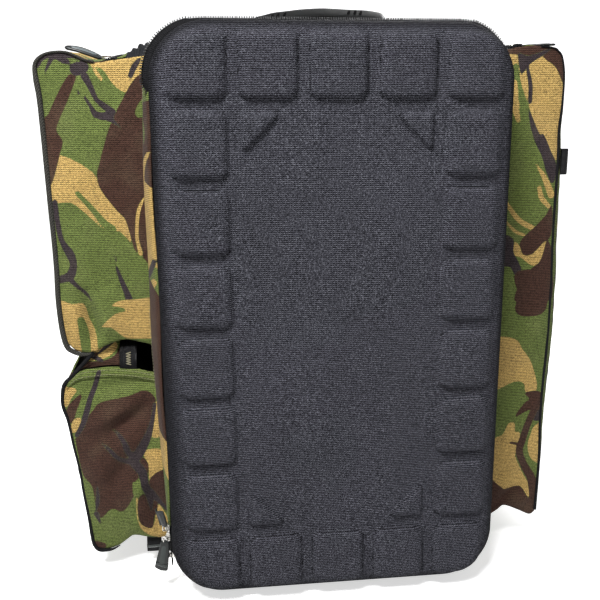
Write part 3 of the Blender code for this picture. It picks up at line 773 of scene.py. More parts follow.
RIGHT_PRINT = [
    ("tan", [
        (195, 611), (243, 611), (264, 597), (274, 574), (276, 538), (272, 492), (256, 505), (240, 538), (228, 554),
        (207, 547), (198, 595),
    ]),
    ("brown", [
        (195, 614), (216, 619), (239, 622), (266, 622), (282, 612), (284, 574), (274, 578), (264, 595), (253, 603),
        (243, 609), (232, 600), (225, 590), (220, 597), (219, 608), (207, 610),
    ]),
    ("green", [(216, 596, 7), (221, 572, 8), (229, 551, 10), (236, 531, 12), (244, 512, 14), (251, 497, 14)]),
    ("green", [
        (195, 547), (216, 542), (222, 533), (226, 545), (237, 523), (253, 499), (258, 477), (266, 448), (269, 435),
        (252, 416), (231, 393), (200, 391),
    ]),
    ("tan", [(215, 578, 8), (217, 554, 9), (222, 537, 5)]),
    ("black", [(219, 611), (232, 608), (258, 617), (252, 611), (233, 599), (224, 588), (220, 599)]),
    ("black", [(230, 597, 3), (234, 578, 5), (235, 558, 5)]),
    ("black", [(234, 548, 2), (239, 533, 6), (247, 516, 9), (257, 501, 12), (265, 484, 15), (268, 469, 7)]),
    ("black", [(252, 520, 4), (256, 512, 5), (261, 502, 5)]),
    ("tan", [(246, 488, 1), (257, 473, 6), (268, 452, 9)]),
    ("tan", [(252, 460, 5), (256, 448, 6), (266, 438, 5)]),
    ("tan", [(205, 452, 4), (214, 441, 5), (230, 422, 6), (249, 412, 6)]),
    ("tan", [(205, 430, 3), (215, 419, 3), (226, 409, 4), (240, 404, 3)]),
    ("brown", [
        (270, 439), (272, 409), (267, 398), (248, 382), (236, 382), (231, 393), (235, 402), (252, 417), (263, 429)
    ]),
    ("tan", [
        (223, 397), (231, 393), (236, 382), (248, 382), (265, 398), (259, 374), (249, 368), (234, 378), (222, 383)
    ]),
    ("brown", [(267, 398), (278, 370), (280, 326), (232, 323), (231, 339), (233, 351), (246, 363), (259, 374)]),
    ("black", [(205, 405), (223, 401), (224, 385), (231, 373), (237, 359), (230, 351), (221, 367), (205, 371)]),
    ("brown", [
        (230, 362), (276, 360), (272, 349), (271, 313), (249, 305), (235, 308), (230, 318), (238, 332), (247, 336),
        (231, 340),
    ]),
    ("tan", [
        (200, 277), (233, 277), (244, 263), (256, 246), (266, 216), (262, 206), (251, 208), (248, 219), (236, 222),
        (205, 215),
    ]),
    ("brown", [(250, 206), (267, 208), (280, 197), (271, 180), (259, 184), (239, 175), (250, 192), (257, 198)]),
    ("black", [(260, 178), (280, 183), (281, 168), (262, 169)]),
    ("tan", [
        (231, 167), (239, 167), (240, 156), (247, 153), (246, 134), (242, 123), (249, 107), (259, 89), (269, 75),
        (267, 61), (262, 66), (253, 78), (240, 74), (232, 74), (210, 94), (212, 144), (224, 152),
    ]),
    ("brown", [
        (265, 185, 10), (257, 164, 10), (251, 142, 10), (248, 127, 10), (255, 109, 10), (268, 86, 12), (275, 52, 15)
    ]),
    ("brown", [(250, 137, 4), (235, 141, 3)]),
    ("tan", [(267, 161), (281, 164), (283, 112), (266, 115), (259, 133), (262, 150)]),
    ("brown", [
        (206, 96), (232, 75), (253, 78), (265, 61), (269, 75), (275, 86), (290, 28), (269, 20), (236, 20), (205, 20),
        (205, 65),
    ]),
]

FLAP_PRINT = [
    ("brown", [(-230, 548), (-170, 548), (-170, 470), (-230, 470)]),
    ("green", [(-203, 548, 3), (-199, 530, 5), (-196, 512, 3)]),
    ("tan", [(-190, 505, 4), (-199, 492, 7), (-203, 470, 6)]),
    ("tan", [(-230, 462), (-186, 468), (-186, 386), (-230, 380)]),
    ("black", [(-206, 362, 6), (-197, 378, 6), (-190, 392, 5)]),
    ("tan", [(-206, 346, 6), (-199, 358, 8), (-192, 368, 6)]),
    ("brown", [(-230, 344), (-186, 352), (-186, 186), (-230, 186)]),
    ("tan", [(-230, 186), (-186, 186), (-186, 140), (-200, 148), (-230, 150)]),
]

# ---------------------------------------------------------------- the moulded lid


def smooth_step(t):
    t = np.clip(t, 0, 1)
    return t * t * (3 - 2 * t)


def panel_inset(x, z):
    """How far a point is inside the lid's rounded outline."""
    dx = np.abs(x) - (PANEL_HALF - LID_RADIUS)
    dz = np.abs(z - PANEL_MIDDLE) - (PANEL_HALF_HEIGHT - LID_RADIUS)
    outside = np.hypot(np.maximum(dx, 0), np.maximum(dz, 0))
    return LID_RADIUS - outside - np.minimum(np.maximum(dx, dz), 0)


def pad_shape(sides, ends):
    """Height share of a pad from two shares that are 0 at its foot and 1 on its top: steep at the foot, then round."""
    away = np.clip(np.hypot(1 - np.clip(sides, 0, 1), 1 - np.clip(ends, 0, 1)), 0, 1)
    return np.sqrt(1 - away**2.4)


def pad_rise(x, z):
    """Height of the moulded pads over the field, from 0 to 1."""
    rise = np.zeros_like(x)
    half_x, half_z = (PAD_PITCH_X - PAD_GAP) / 2 + 0.002, (PAD_PITCH_Z - PAD_GAP) / 2 + 0.002
    for row in range(PAD_ROWS):
        for column in range(PAD_COLUMNS):
            if 0 < row < PAD_ROWS - 1 and 0 < column < PAD_COLUMNS - 1:
                continue
            dx = x - (column - (PAD_COLUMNS - 1) / 2) * PAD_PITCH_X
            dz = z - PANEL_MIDDLE - (row - (PAD_ROWS - 1) / 2) * PAD_PITCH_Z
            sides = (half_x - np.abs(dx)) / np.where(dx < 0, 0.014, 0.0120)
            ends = (half_z - np.abs(dz)) / np.where(dz < 0, 0.0090, 0.0100)
            rise = np.maximum(rise, pad_shape(sides, ends))
    leg = 0.041
    from_side = PAD_PITCH_X * (PAD_COLUMNS / 2 - 1) - PAD_GAP / 2 - np.abs(x)
    from_end = PAD_PITCH_Z * (PAD_ROWS / 2 - 1) - PAD_GAP / 2 - np.abs(z - PANEL_MIDDLE)
    slant = (leg - from_side - from_end) / math.sqrt(2)
    corner = pad_shape(slant / 0.0065, np.minimum(from_side, from_end) / 0.0075)
    return np.maximum(rise, 0.85 * corner)


def panel_depth(x, z, inset):
    """Where the outside of the lid lies along y."""
    edge = 0.024
    t = np.clip(inset / edge, 0, 1)
    rounded = (PANEL_FIELD + 0.021) - 0.021 * np.sqrt(1 - (1 - t) ** 2)
    field = rounded + 0.0009 * np.sin(x * 41) * np.sin((z + 0.1) * 23) * smooth_step(inset / 0.05)
    return field - (PANEL_FIELD - PANEL_FRONT) * pad_rise(x, z) * smooth_step(inset / 0.014)


def scan_grid(step, shrink=0.0):
    """A grid over the lid's outline whose lines crowd together near its edges."""
    near = np.array([0, 0.0003, 0.0009, 0.0018, 0.003, 0.0045, 0.0065, 0.009, 0.012, 0.0155, 0.0195, 0.024])
    near = np.concatenate([near, np.arange(0.024 + step, LID_RADIUS, step)])
    half, tall, radius = PANEL_HALF - shrink, PANEL_HALF_HEIGHT - shrink, LID_RADIUS - shrink
    middle = np.arange(-tall + near[-1] + step, tall - near[-1] - step / 2, step)
    rows = np.concatenate([-tall + near, middle, (tall - near)[::-1]])
    from_end = tall - np.abs(rows)
    widths = half - radius + np.sqrt(np.maximum(radius**2 - np.maximum(radius - from_end, 0) ** 2, 0))
    sides = near[:12]
    count = int(2 * (half - sides[-1]) / step)
    share = np.linspace(-1, 1, count)[1:-1]
    x = np.stack([np.concatenate([-w + sides, share * (w - sides[-1]), (w - sides)[::-1]]) for w in widths], axis=1)
    z = np.broadcast_to(rows + PANEL_MIDDLE, x.shape)
    return x, z


def boundary(rows, columns):
    """Indices of a grid's edge, all the way round."""
    index = np.arange(rows * columns).reshape(rows, columns)
    return np.concatenate([index[:-1, 0], index[-1, :-1], index[:0:-1, -1], index[0, :0:-1]])


def make_lid_shell():
    """The moulded outside of the lid and its side walls."""
    x, z = scan_grid(0.0018)
    inset = panel_inset(x, z)
    y = panel_depth(x, z, inset)
    grid = np.stack([x, y, z], axis=-1)
    edge = boundary(*x.shape)
    # Painted shade along the lid's outline: a darkening band that widens towards the bottom, most on the left.
    shade_widens_low = smooth_step((0.43 - z) / 0.26)
    worn = np.exp(-((inset / (0.0095 + shade_widens_low * np.where(x < -0.1, 0.0090, 0.0030))) ** 2))
    rise = pad_rise(x, z)
    # Painted shade on the lower part of each pad's flank, near its foot, fading out near the outline.
    crease = np.where(rise > 0, np.exp(-(((rise - 0.16) / 0.22) ** 2)), 0.0) * smooth_step((inset - 0.012) / 0.010)
    points = grid.reshape(-1, 3)
    ring = points[edge]
    walls = [ring]
    for depth, shrink in ((-0.130, -0.0003), (-0.1245, -0.0004), (PANEL_RIM - 0.0005, 0.0), (PANEL_RIM, 0.0016)):
        moved = ring.copy()
        moved[:, 1] = depth
        away = moved[:, [0, 2]] - np.stack(
            [
                np.clip(moved[:, 0], -PANEL_HALF + LID_RADIUS, PANEL_HALF - LID_RADIUS),
                np.clip(moved[:, 2], PANEL_LOW.z + LID_RADIUS, PANEL_HIGH.z - LID_RADIUS),
            ],
            axis=1,
        )
        away /= np.linalg.norm(away, axis=1)[:, None] + 1e-9
        moved[:, [0, 2]] -= away * shrink
        walls.append(moved)
    count = len(points)
    extra = np.concatenate(walls[1:])
    faces = [list(f) for f in grid_faces(*x.shape)]
    m = len(edge)
    previous = list(edge)
    for k in range(len(walls) - 1):
        following = [count + k * m + j for j in range(m)]
        for j in range(m):
            i = (j + 1) % m
            faces.append([previous[j], previous[i], following[i], following[j]])
        previous = following
    everything = np.vstack([points, extra])
    run = np.linspace(0, 2.0, m)
    uvs = np.vstack([points[:, [0, 2]], *[np.stack([run, wall[:, 1]], axis=1) for wall in walls[1:]]])
    # The side walls take the painted edge shade in full; the pads' feet their own painted shade.
    fields = {"worn": np.concatenate([worn.ravel(), np.full(len(extra), 1.0)])}
    fields["crease"] = np.concatenate([crease.ravel(), np.zeros(len(extra))])
    build = Build().add(everything, faces, uvs, fields)
    build.piece("moulded_lid", "moulded", "front_lid", "moulded", "front_shell")


def make_lid_lining():
    """The lid's inside: lining glued in the shell, following its pads softly."""
    x, z = scan_grid(0.006, 0.0042)
    inset = panel_inset(x, z)
    y = panel_depth(x, z, np.maximum(inset - 0.0042, 0)) + 0.0045
    build = Build()
    build.add(np.stack([x, y, z], axis=-1), grid_faces(*x.shape)[:, ::-1], np.stack([x, z], axis=-1))
    edge = boundary(*x.shape)
    ring = np.stack([x, y, z], axis=-1).reshape(-1, 3)[edge]
    rim = ring.copy()
    rim[:, 1] = PANEL_RIM + 0.0002
    wall = np.stack([ring, rim], axis=1)
    build.add(wall, grid_faces(len(edge), 2, wrap_rows=True), wall[..., [0, 1]])
    build.piece("lid_lining", "liner", "front_lid", "liner")


def lid_outline(grow, low=ZIP_LOW, step=0.003, radius=PANEL_RADIUS):
    """Points and outward directions along the lid's outline, from its lower left end over the top."""
    corner_x, corner_z = PANEL_HALF - radius, PANEL_HIGH.z - radius
    angles = np.linspace(0, math.pi / 2, int(radius * 1.57 / step))
    left = [((-PANEL_HALF, z), (-1, 0)) for z in np.arange(low, corner_z, step)]
    for x, z in [(-math.cos(angle), math.sin(angle)) for angle in angles]:
        left.append(((-corner_x + radius * x, corner_z + radius * z), (x, z)))
    top = [((x, PANEL_HIGH.z), (0, 1)) for x in np.arange(-corner_x, corner_x, step)[1:]]
    right = [((-x, z), (-out_x, out_z)) for (x, z), (out_x, out_z) in left[::-1]]
    centres, outs = (np.array(column, float) for column in zip(*left, *top, *right))
    return centres + outs * grow, outs


def zip_flare(outline, outs):
    """How far the tape leans out from the rim to its teeth: most at the top left, least under the flaps."""
    left, right, top = np.maximum(-outs[:, 0], 0), np.maximum(outs[:, 0], 0), outs[:, 1]
    clear = smooth_step((outline[:, 1] - 0.560) / 0.014) + 0.45 * smooth_step((0.088 - outline[:, 1]) / 0.012)
    side = 0.0012 + (0.0072 * left**2 + 0.0035 * right**2) * clear
    return np.where(top > 0.98, 0.0046, side + 0.0046 * top**2)


def band(section, outline, outs, flare):
    """Points of a strip that follows the outline: each section point is (share of the flare, extra out, y)."""
    rows = []
    for share, extra, y in section:
        out = (flare * share + extra)[:, None] * outs
        rows.append(np.stack(
            [outline[:, 0] + out[:, 0], np.full(len(outline), y), outline[:, 1] + out[:, 1]], axis=1
        ))
    return np.stack(rows, axis=1)


def make_zip():
    """Both halves of the front zip, tape and teeth, and the bead along the lid's rim."""
    outline, outs = lid_outline(0.0)
    flare = zip_flare(outline, outs)
    run = lengths(outline)
    fine = resample(outline, 2400)
    angle = np.interp(lengths(fine), run, np.unwrap(np.arctan2(outs[:, 1], outs[:, 0])))
    fine_outs = np.stack([np.cos(angle), np.zeros(len(fine)), np.sin(angle)], axis=1)
    fine_flare = np.interp(lengths(fine), run, flare)
    halves = {
        "lid": ("front_lid", "lid_zip_tape", [
            (0.0, -0.0042, -0.1215), (0.25, 0, -0.1195), (0.7, 0, -0.1155), (1.0, 0, -0.1127)
        ]),
        "bag": ("root", "bag_zip_tape", [
            (1.0, 0, -0.1119), (0.75, 0, -0.1095), (0.3, 0, -0.1060), (0.0, -0.0015, -0.1030)
        ]),
    }
    for half, (body, node, section) in halves.items():
        grid = band(section, outline, outs, flare)
        across = np.linspace(0, 0.011, len(section))
        uvs = np.stack(np.broadcast_arrays(across[None, :], run[:, None]), axis=-1)
        tape = Build().add(grid, grid_faces(len(outline), len(section)), uvs)
        thicken(tape.piece(f"{half}_zip_tape_woven", "tape", body, "zip_tape", node), 0.0009, 0.0)
        teeth = Build()
        back = np.array([0, -1 if half == "lid" else 1, 0])
        for at in np.arange(LID_TOOTH_PITCH * 0.5, run[-1], LID_TOOTH_PITCH):
            k = int(at / run[-1] * (len(fine) - 1))
            out = fine_outs[k]
            along = np.array([-out[2], 0, out[0]])
            base = np.array([fine[k, 0], TEETH_Y, fine[k, 1]]) + out * (fine_flare[k] + 0.0004)
            root = base + back * 0.0028 - out * 0.0022
            tip = base - back * 0.0010 + out * 0.0012
            teeth.add(*sweep(np.array([root, base, tip]), along, superellipse(0.0013, 0.0028, 3, 6)))
        teeth.piece(f"{half}_zip_teeth", "zip_coil", body, "zip_tape")
    cord, _ = lid_outline(0.0004, PANEL_LOW.z + LID_RADIUS, radius=LID_RADIUS)
    line = np.stack([cord[:, 0], np.full(len(cord), PANEL_RIM - 0.0012), cord[:, 1]], axis=1)
    swept("lid_rim_bead", "binding", "front_lid", "binding", line, (0, 1, 0), (0.0026, 0.0026, 2, 8))


# ---------------------------------------------------------------- fabric pockets


def coons(outer, inner, low, high):
    """Grid over four edge curves: outer and inner run up, low and high run from outer to inner."""
    n, m = len(low), len(outer)
    u = np.linspace(0, 1, n)[:, None, None]
    v = np.linspace(0, 1, m)[None, :, None]
    across = outer[None] * (1 - u) + inner[None] * u
    up = low[:, None] * (1 - v) + high[:, None] * v
    corners = (
        (1 - u) * (1 - v) * outer[0]
        + u * (1 - v) * inner[0]
        + (1 - u) * v * outer[-1]
        + u * v * inner[-1]
    )
    return across + up - corners


def edge_curve(points, count):
    return resample(smooth_curve(np.array(points, float) * MM, 6), count)


def fold_height(chart, folds):
    """Sum of listed folds: (x, z, x, z, width, height) in millimetres; a valley has a negative height."""
    total = np.zeros(len(chart))
    for x0, z0, x1, z1, width, height in folds:
        a, b = np.array([x0, z0]) * MM, np.array([x1, z1]) * MM
        edge = b - a
        share = np.clip(((chart - a) @ edge) / (edge @ edge), 0, 1)
        away = np.linalg.norm(chart - a - share[:, None] * edge, axis=1)
        taper = 0.35 + 0.65 * np.sin(math.pi * np.clip(share, 0.03, 0.97))
        total += height * MM * taper * np.exp(-((away / (width * MM)) ** 2))
    return total


def crumple(chart, seed, size, height):
    """Soft random creases of about that size."""
    draw = np.random.default_rng(seed)
    total = np.zeros(len(chart))
    for _ in range(14):
        angle = draw.uniform(0, TURN)
        k = TURN / (size * draw.uniform(0.6, 1.7)) * np.array([math.cos(angle), math.sin(angle)])
        bend = 0.4 * np.sin(chart @ (k[::-1] * 0.35) + draw.uniform(0, TURN))
        total += (1 - np.abs(np.sin(chart @ k + bend + draw.uniform(0, TURN)))) ** 2
    total = total / 14
    return height * (total - total.mean()) * 3


class Pocket:
    """A sewn pocket: front, outer side, back and floor as one shell, with its chart for the print."""

    def __init__(self, name, side, outer, low, high, swell, back_top, layers, sides, folds, seed):
        inner_x = side * POCKET_INNER
        self.side, self.sides, self.back_top = side, sides, back_top
        nu, ns = 52, 46  # points across the front and the back, and from front to back
        nv = int(np.ptp(np.array(outer)[:, 1]) / 2.6)  # points up, 2.6 mm apart
        outer = edge_curve(outer, nv)
        low, high = edge_curve(low, nu), edge_curve(high, nu)
        inner = np.stack([np.full(nv, inner_x), np.linspace(low[-1, 1], high[-1, 1], nv)], axis=1)
        front = coons(outer, inner, low, high)
        self.top_edge = high
        depth = POCKET_BACK - POCKET_FRONT
        back_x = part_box(name)[0].x if side < 0 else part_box(name)[1].x
        self.back_edge_x = back_x
        rise = np.linspace(0, 1, nv)
        back_outer = np.stack([np.full(nv, back_x), low[0, 1] + (back_top - low[0, 1]) * rise], axis=1)
        turn = np.clip(1 - (back_outer[:, 1] - back_outer[0, 1]) / 0.022, 0, 1)
        back_outer[:, 0] -= side * 0.016 * turn**2
        u = np.linspace(0, 1, nu)
        s = np.linspace(0, 1, ns)
        back_low = np.stack([back_outer[0, 0] * (1 - u) + inner_x * u, np.full(nu, back_outer[0, 1])], axis=1)
        back_high = np.stack([back_x * (1 - u) + inner_x * u, np.full(nu, back_top)], axis=1)
        back_inner = np.stack([np.full(nv, inner_x), np.linspace(back_low[-1, 1], back_top, nv)], axis=1)
        back = coons(back_outer, back_inner, back_low, back_high)
        rows, charts, normals = [], [], []
        v_swell = np.sin(math.pi * np.clip(rise, 0, 1)) ** 0.55
        for k in range(nu - 1, -1, -1):
            y = np.full(nv, POCKET_FRONT)
            rows.append(np.stack([front[k, :, 0], y, front[k, :, 1]], axis=1))
            full = math.sin(math.pi * min(1, 0.5 * u[k] + 0.02) ** 0.8) ** 0.7
            rows[-1][:, 1] -= swell[0] * full * v_swell
            charts.append(front[k])
            normals.append(np.tile((0, -1, 0), (nv, 1)))
        for k in range(1, ns):
            t = s[k]
            x = outer[:, 0] * (1 - t) + back_outer[:, 0] * t
            z = outer[:, 1] * (1 - t) + back_outer[:, 1] * t
            out = swell[1] * math.sin(math.pi * t**0.62) ** 0.8 * v_swell
            rows.append(np.stack([x + side * out, np.full(nv, POCKET_FRONT + depth * t), z], axis=1))
            charts.append(np.stack([outer[:, 0] + side * depth * t, z], axis=1))
            normals.append(np.tile((side, 0, 0), (nv, 1)))
        for k in range(1, nu):
            rows.append(np.stack([back[k, :, 0], np.full(nv, POCKET_BACK), back[k, :, 1]], axis=1))
            rows[-1][:, 1] += 0.004 * math.sin(math.pi * u[k]) * v_swell
            far = outer[:, 0] + side * (depth + np.abs(back[k, :, 0] - back_x))
            charts.append(np.stack([far, back[k, :, 1]], axis=1))
            normals.append(np.tile((0, 1, 0), (nv, 1)))
        grid, chart, normal = np.array(rows), np.array(charts), np.array(normals, float)
        flat_chart = chart.reshape(-1, 2)
        height = fold_height(flat_chart, folds) + crumple(flat_chart, seed, 0.085, 0.0016)
        keep = smooth_step(np.minimum(rise, 1 - rise) / 0.05)[None, :] * np.ones((len(rows), 1))
        from_edge = np.abs(np.arange(len(rows)) - (nu - 1)) * 0.0024
        keep = keep * smooth_step(from_edge / 0.012 + 0.15)[:, None]
        grid = grid + normal * (height.reshape(keep.shape) * keep)[..., None]
        floor_front = grid[:nu, 0][::-1]
        floor_back = grid[nu + ns - 2 :, 0]
        t = s[None, :, None]
        floor = floor_front[:, None] * (1 - t) + floor_back[:, None] * t
        floor[..., 2] -= 0.004 * np.sin(math.pi * s)[None, :] * np.sin(math.pi * np.clip(u, 0.02, 0.98))[:, None]
        floor_chart = np.stack([floor[..., 0], floor_front[:, None, 2] - depth * s[None, :]], axis=-1)
        self.build = Build()
        self.front = grid[:nu]
        self.front_chart = chart[:nu]
        for surface, flat in ((grid, chart), (floor, floor_chart)):
            faces = grid_faces(*surface.shape[:2])
            faces = faces[:, ::-1] if side < 0 else faces
            fields = camo_fields(flat.reshape(-1, 2), sides)
            if surface is grid:
                printed = camo_fields(flat[:nu].reshape(-1, 2), layers)
                for key, values in printed.items():
                    fields[key][: nu * nv] = values
            self.build.add(surface, faces, flat, fields)

    def piece(self, name, replaced):
        thicken(self.build.piece(name, ["camo", "liner"], "root", "camo", replaced, 50), 0.0016, -1.0, 1)

    def piping(self, name, line, radius, material, replaced, taper=(1, 1)):
        line = even_curve(np.array(line, float) * MM, 0.003)
        points = np.stack([line[:, 0], np.full(len(line), POCKET_FRONT - 0.0012), line[:, 1]], axis=1)
        scale = np.interp(np.linspace(0, 1, len(line)), np.linspace(0, 1, len(taper)), taper)
        size = (2 * radius, 2 * radius, 2, 12)
        swept(name, material, "root", "webbing", points, (0, 1, 0), size, scale, scale, replaced=replaced)


LEFT_UPPER_EDGE = [
    (-299, 289), (-303.5, 307), (-305, 342), (-304, 376), (-304, 410), (-305, 455), (-306, 519), (-307, 561),
    (-309, 581), (-310, 594), (-307, 604),
]
LEFT_UPPER_TOP = [
    (-307, 604), (-297, 608.5), (-284, 610), (-272, 607), (-257, 599), (-245, 599), (-233, 601), (-212, 604),
    (-189.5, 607),
]
LEFT_UPPER_LOW = [(-299, 289), (-290, 281), (-273, 278), (-259, 286), (-235, 293), (-206, 286), (-189.5, 284)]
LEFT_LOWER_EDGE = [
    (-286, 31), (-288, 40), (-290, 67), (-292, 87), (-294, 107), (-296, 133), (-301, 165), (-305, 196), (-310, 216),
    (-309, 233), (-305, 243),
]
LEFT_LOWER_TOP = [
    (-305, 243), (-297, 251), (-287, 257.5), (-268, 260), (-249, 260.5), (-225, 257.5), (-207, 252.5), (-189.5, 250)
]
LEFT_LOWER_LOW = [
    (-286, 31), (-281, 27), (-270, 27), (-258, 31), (-248, 38), (-239, 43), (-221, 39), (-205, 38), (-189.5, 40)
]
RIGHT_EDGE = [
    (275, 41), (276, 85), (276, 126), (274, 167), (274, 214), (276, 266), (276, 336), (274, 404), (274, 457),
    (274, 498), (273, 526), (275, 554), (275, 587), (272, 609),
]
RIGHT_TOP = [(272, 609), (264, 616), (250, 618), (232, 619), (217, 617), (207, 615), (189.5, 612)]
RIGHT_LOW = [(275, 41), (268, 37), (251, 45), (233, 52), (224, 46), (212, 40), (189.5, 41)]

LEFT_UPPER_FOLDS = [
    (-276, 350, -266, 284, 7, -9),
    (-291, 345, -288, 290, 9, 4),
    (-252, 340, -246, 292, 12, 3),
    (-228, 515, -222, 455, 12, -3),
    (-262, 380, -240, 345, 14, -3),
    (-250, 545, -225, 560, 10, -2),
    (-285, 520, -270, 430, 16, 3),
]
LEFT_LOWER_FOLDS = [
    (-262, 178, -212, 214, 9, -7),
    (-284, 190, -232, 215, 9, 4),
    (-258, 158, -225, 178, 10, 4),
    (-262, 112, -240, 148, 9, -5),
    (-282, 120, -268, 160, 12, 3),
    (-240, 92, -222, 118, 9, 4),
    (-216, 120, -206, 60, 8, -5),
    (-205, 160, -197, 100, 8, 3),
    (-292, 235, -200, 243, 6, -3),
    (-236, 50, -228, 85, 8, 3),
]
RIGHT_FOLDS = [
    (250, 78, 222, 52, 7, -7),
    (262, 60, 240, 46, 6, 4),
    (225, 200, 245, 320, 14, -3),
    (222, 430, 236, 500, 12, -3),
    (255, 90, 235, 130, 10, 3),
    (262, 320, 255, 260, 12, 3),
    (224, 110, 232, 88, 8, -3),
]


def make_pockets():
    """The three side pockets and the piping round their fronts."""
    left_top, right_top = (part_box(node)[1].z for node in ("left_upper_pocket", "right_pocket"))
    upper_sides = random_layers(5, (-0.64, -0.29), (0.10, 0.80))
    upper = Pocket(
        "left_upper_pocket", -1, LEFT_UPPER_EDGE, LEFT_UPPER_LOW, LEFT_UPPER_TOP, (0.009, 0.011), left_top - 0.0010,
        LEFT_UPPER_PRINT, upper_sides, LEFT_UPPER_FOLDS, 3,
    )
    upper.piece("left_upper_bag", "left_upper_pocket")
    line = [
        (-250, 600), (-259, 601.5), (-268, 605.5), (-277, 609), (-288, 609.5), (-299, 607.5), (-307, 602.5),
        (-311, 595),
    ]
    line += [(x - 1.5, z) for x, z in LEFT_UPPER_EDGE[-3:0:-1]] + [(-301, 287), (-293, 280), (-284, 277), (-272, 278)]
    taper = [0.4] * 4 + [0.7] + [1.0] * 18 + [0.8, 0.4]
    upper.piping("left_upper_piping_cloth", line, 0.0032, "piping", "left_upper_piping", taper)

    lower_sides = random_layers(11, (-0.64, -0.17), (-0.15, 0.30))
    lower = Pocket(
        "left_lower_pocket", -1, LEFT_LOWER_EDGE, LEFT_LOWER_LOW, LEFT_LOWER_TOP, (0.012, 0.009), 0.262,
        LEFT_LOWER_PRINT, lower_sides, LEFT_LOWER_FOLDS, 7,
    )
    lower.piece("left_lower_bag", "left_lower_pocket")
    line = [(-272, 279), (-281, 269.5), (-290, 260), (-299, 250.5), (-307, 243)]
    line += [(x - 1.2, z) for x, z in LEFT_LOWER_EDGE[-2:0:-1]]
    line += [(-286.5, 31), (-282, 26.3), (-275, 25.5), (-266, 26.5), (-257, 31)]
    lower.piping("left_lower_piping_cord", line, 0.0022, "binding", "left_lower_piping", [1.0] * 20 + [0.8, 0.3])

    right_sides = random_layers(17, (0.17, 0.62), (-0.15, 0.80))
    right = Pocket(
        "right_pocket", 1, RIGHT_EDGE, RIGHT_LOW, RIGHT_TOP, (0.007, 0.019), right_top + 0.0020, RIGHT_PRINT,
        right_sides, RIGHT_FOLDS, 9,
    )
    right.piece("right_bag", "right_pocket")
    line = [(245, 618), (256, 617.5), (264, 614.5), (270.6, 607.5)]
    line += [(x - 0.3, z) for x, z in RIGHT_EDGE[-2:0:-1]] + [(275, 44)]
    right.piping("right_piping_cord", line, 0.0019, "binding", "right_piping", [0.4, 0.5, 0.6, 0.8] + [1.0] * 16)
    return upper, lower, right


# ---------------------------------------------------------------- pocket tops


TOP_ROWS = 26


def top_grid(pocket, x_from, x_to, columns):
    """The sloping top of a pocket from one distance off the middle to another, front to back."""
    edge = pocket.top_edge[np.argsort(pocket.top_edge[:, 0])]
    t = np.linspace(0, 1, TOP_ROWS)[:, None]
    front_x = np.linspace(x_from, x_to, columns)[None, :]
    reach = abs(pocket.back_edge_x)
    back_x = np.clip(front_x, -reach, reach)
    front_z = np.interp(front_x, edge[:, 0], edge[:, 1])
    x = front_x * (1 - t) + back_x * t
    crown = 0.0010 if pocket.side < 0 else 0.0030
    z = front_z * (1 - t) + pocket.back_top * t + crown * np.sin(math.pi * t)
    y = POCKET_FRONT + 0.0006 + (POCKET_BACK - POCKET_FRONT - 0.0012) * t + 0 * x
    chart = np.stack([front_x + 0 * t, front_z + (POCKET_BACK - POCKET_FRONT) * t], axis=-1)
    return np.stack([x, y, z], axis=-1), chart


def zip_tooth_row(name, grid, column, body, start, side):
    """Coil teeth along one column of a surface, the first of them start pitches late."""
    line = resample(grid[:, column], 400)
    run = lengths(line)
    teeth = Build()
    for at in np.arange(TOP_TOOTH_PITCH * start + 0.004, run[-1] - 0.004, TOP_TOOTH_PITCH):
        base = np.array([np.interp(at, run, line[:, k]) for k in range(3)])
        ends = [base + np.array([dx * side, 0, 0.0012]) for dx in (-0.0022, -0.0006, 0.0012)]
        teeth.add(*sweep(np.array(ends), (0, 1, 0), superellipse(0.0017, 0.0020, 3, 6)))
    teeth.piece(name, "teeth", body, "zip_tape")


STRIP_RISE = 0.0056
INNER_TOP_PRINT = [
    ("brown", [(-229, 640), (-216, 640), (-214, 668), (-222, 684), (-231, 672)]),
    ("tan", [(-226, 705), (-214, 700), (-213, 722), (-224, 726)]),
    ("black", [(-228, 690, 3), (-215, 696, 4)]),
]


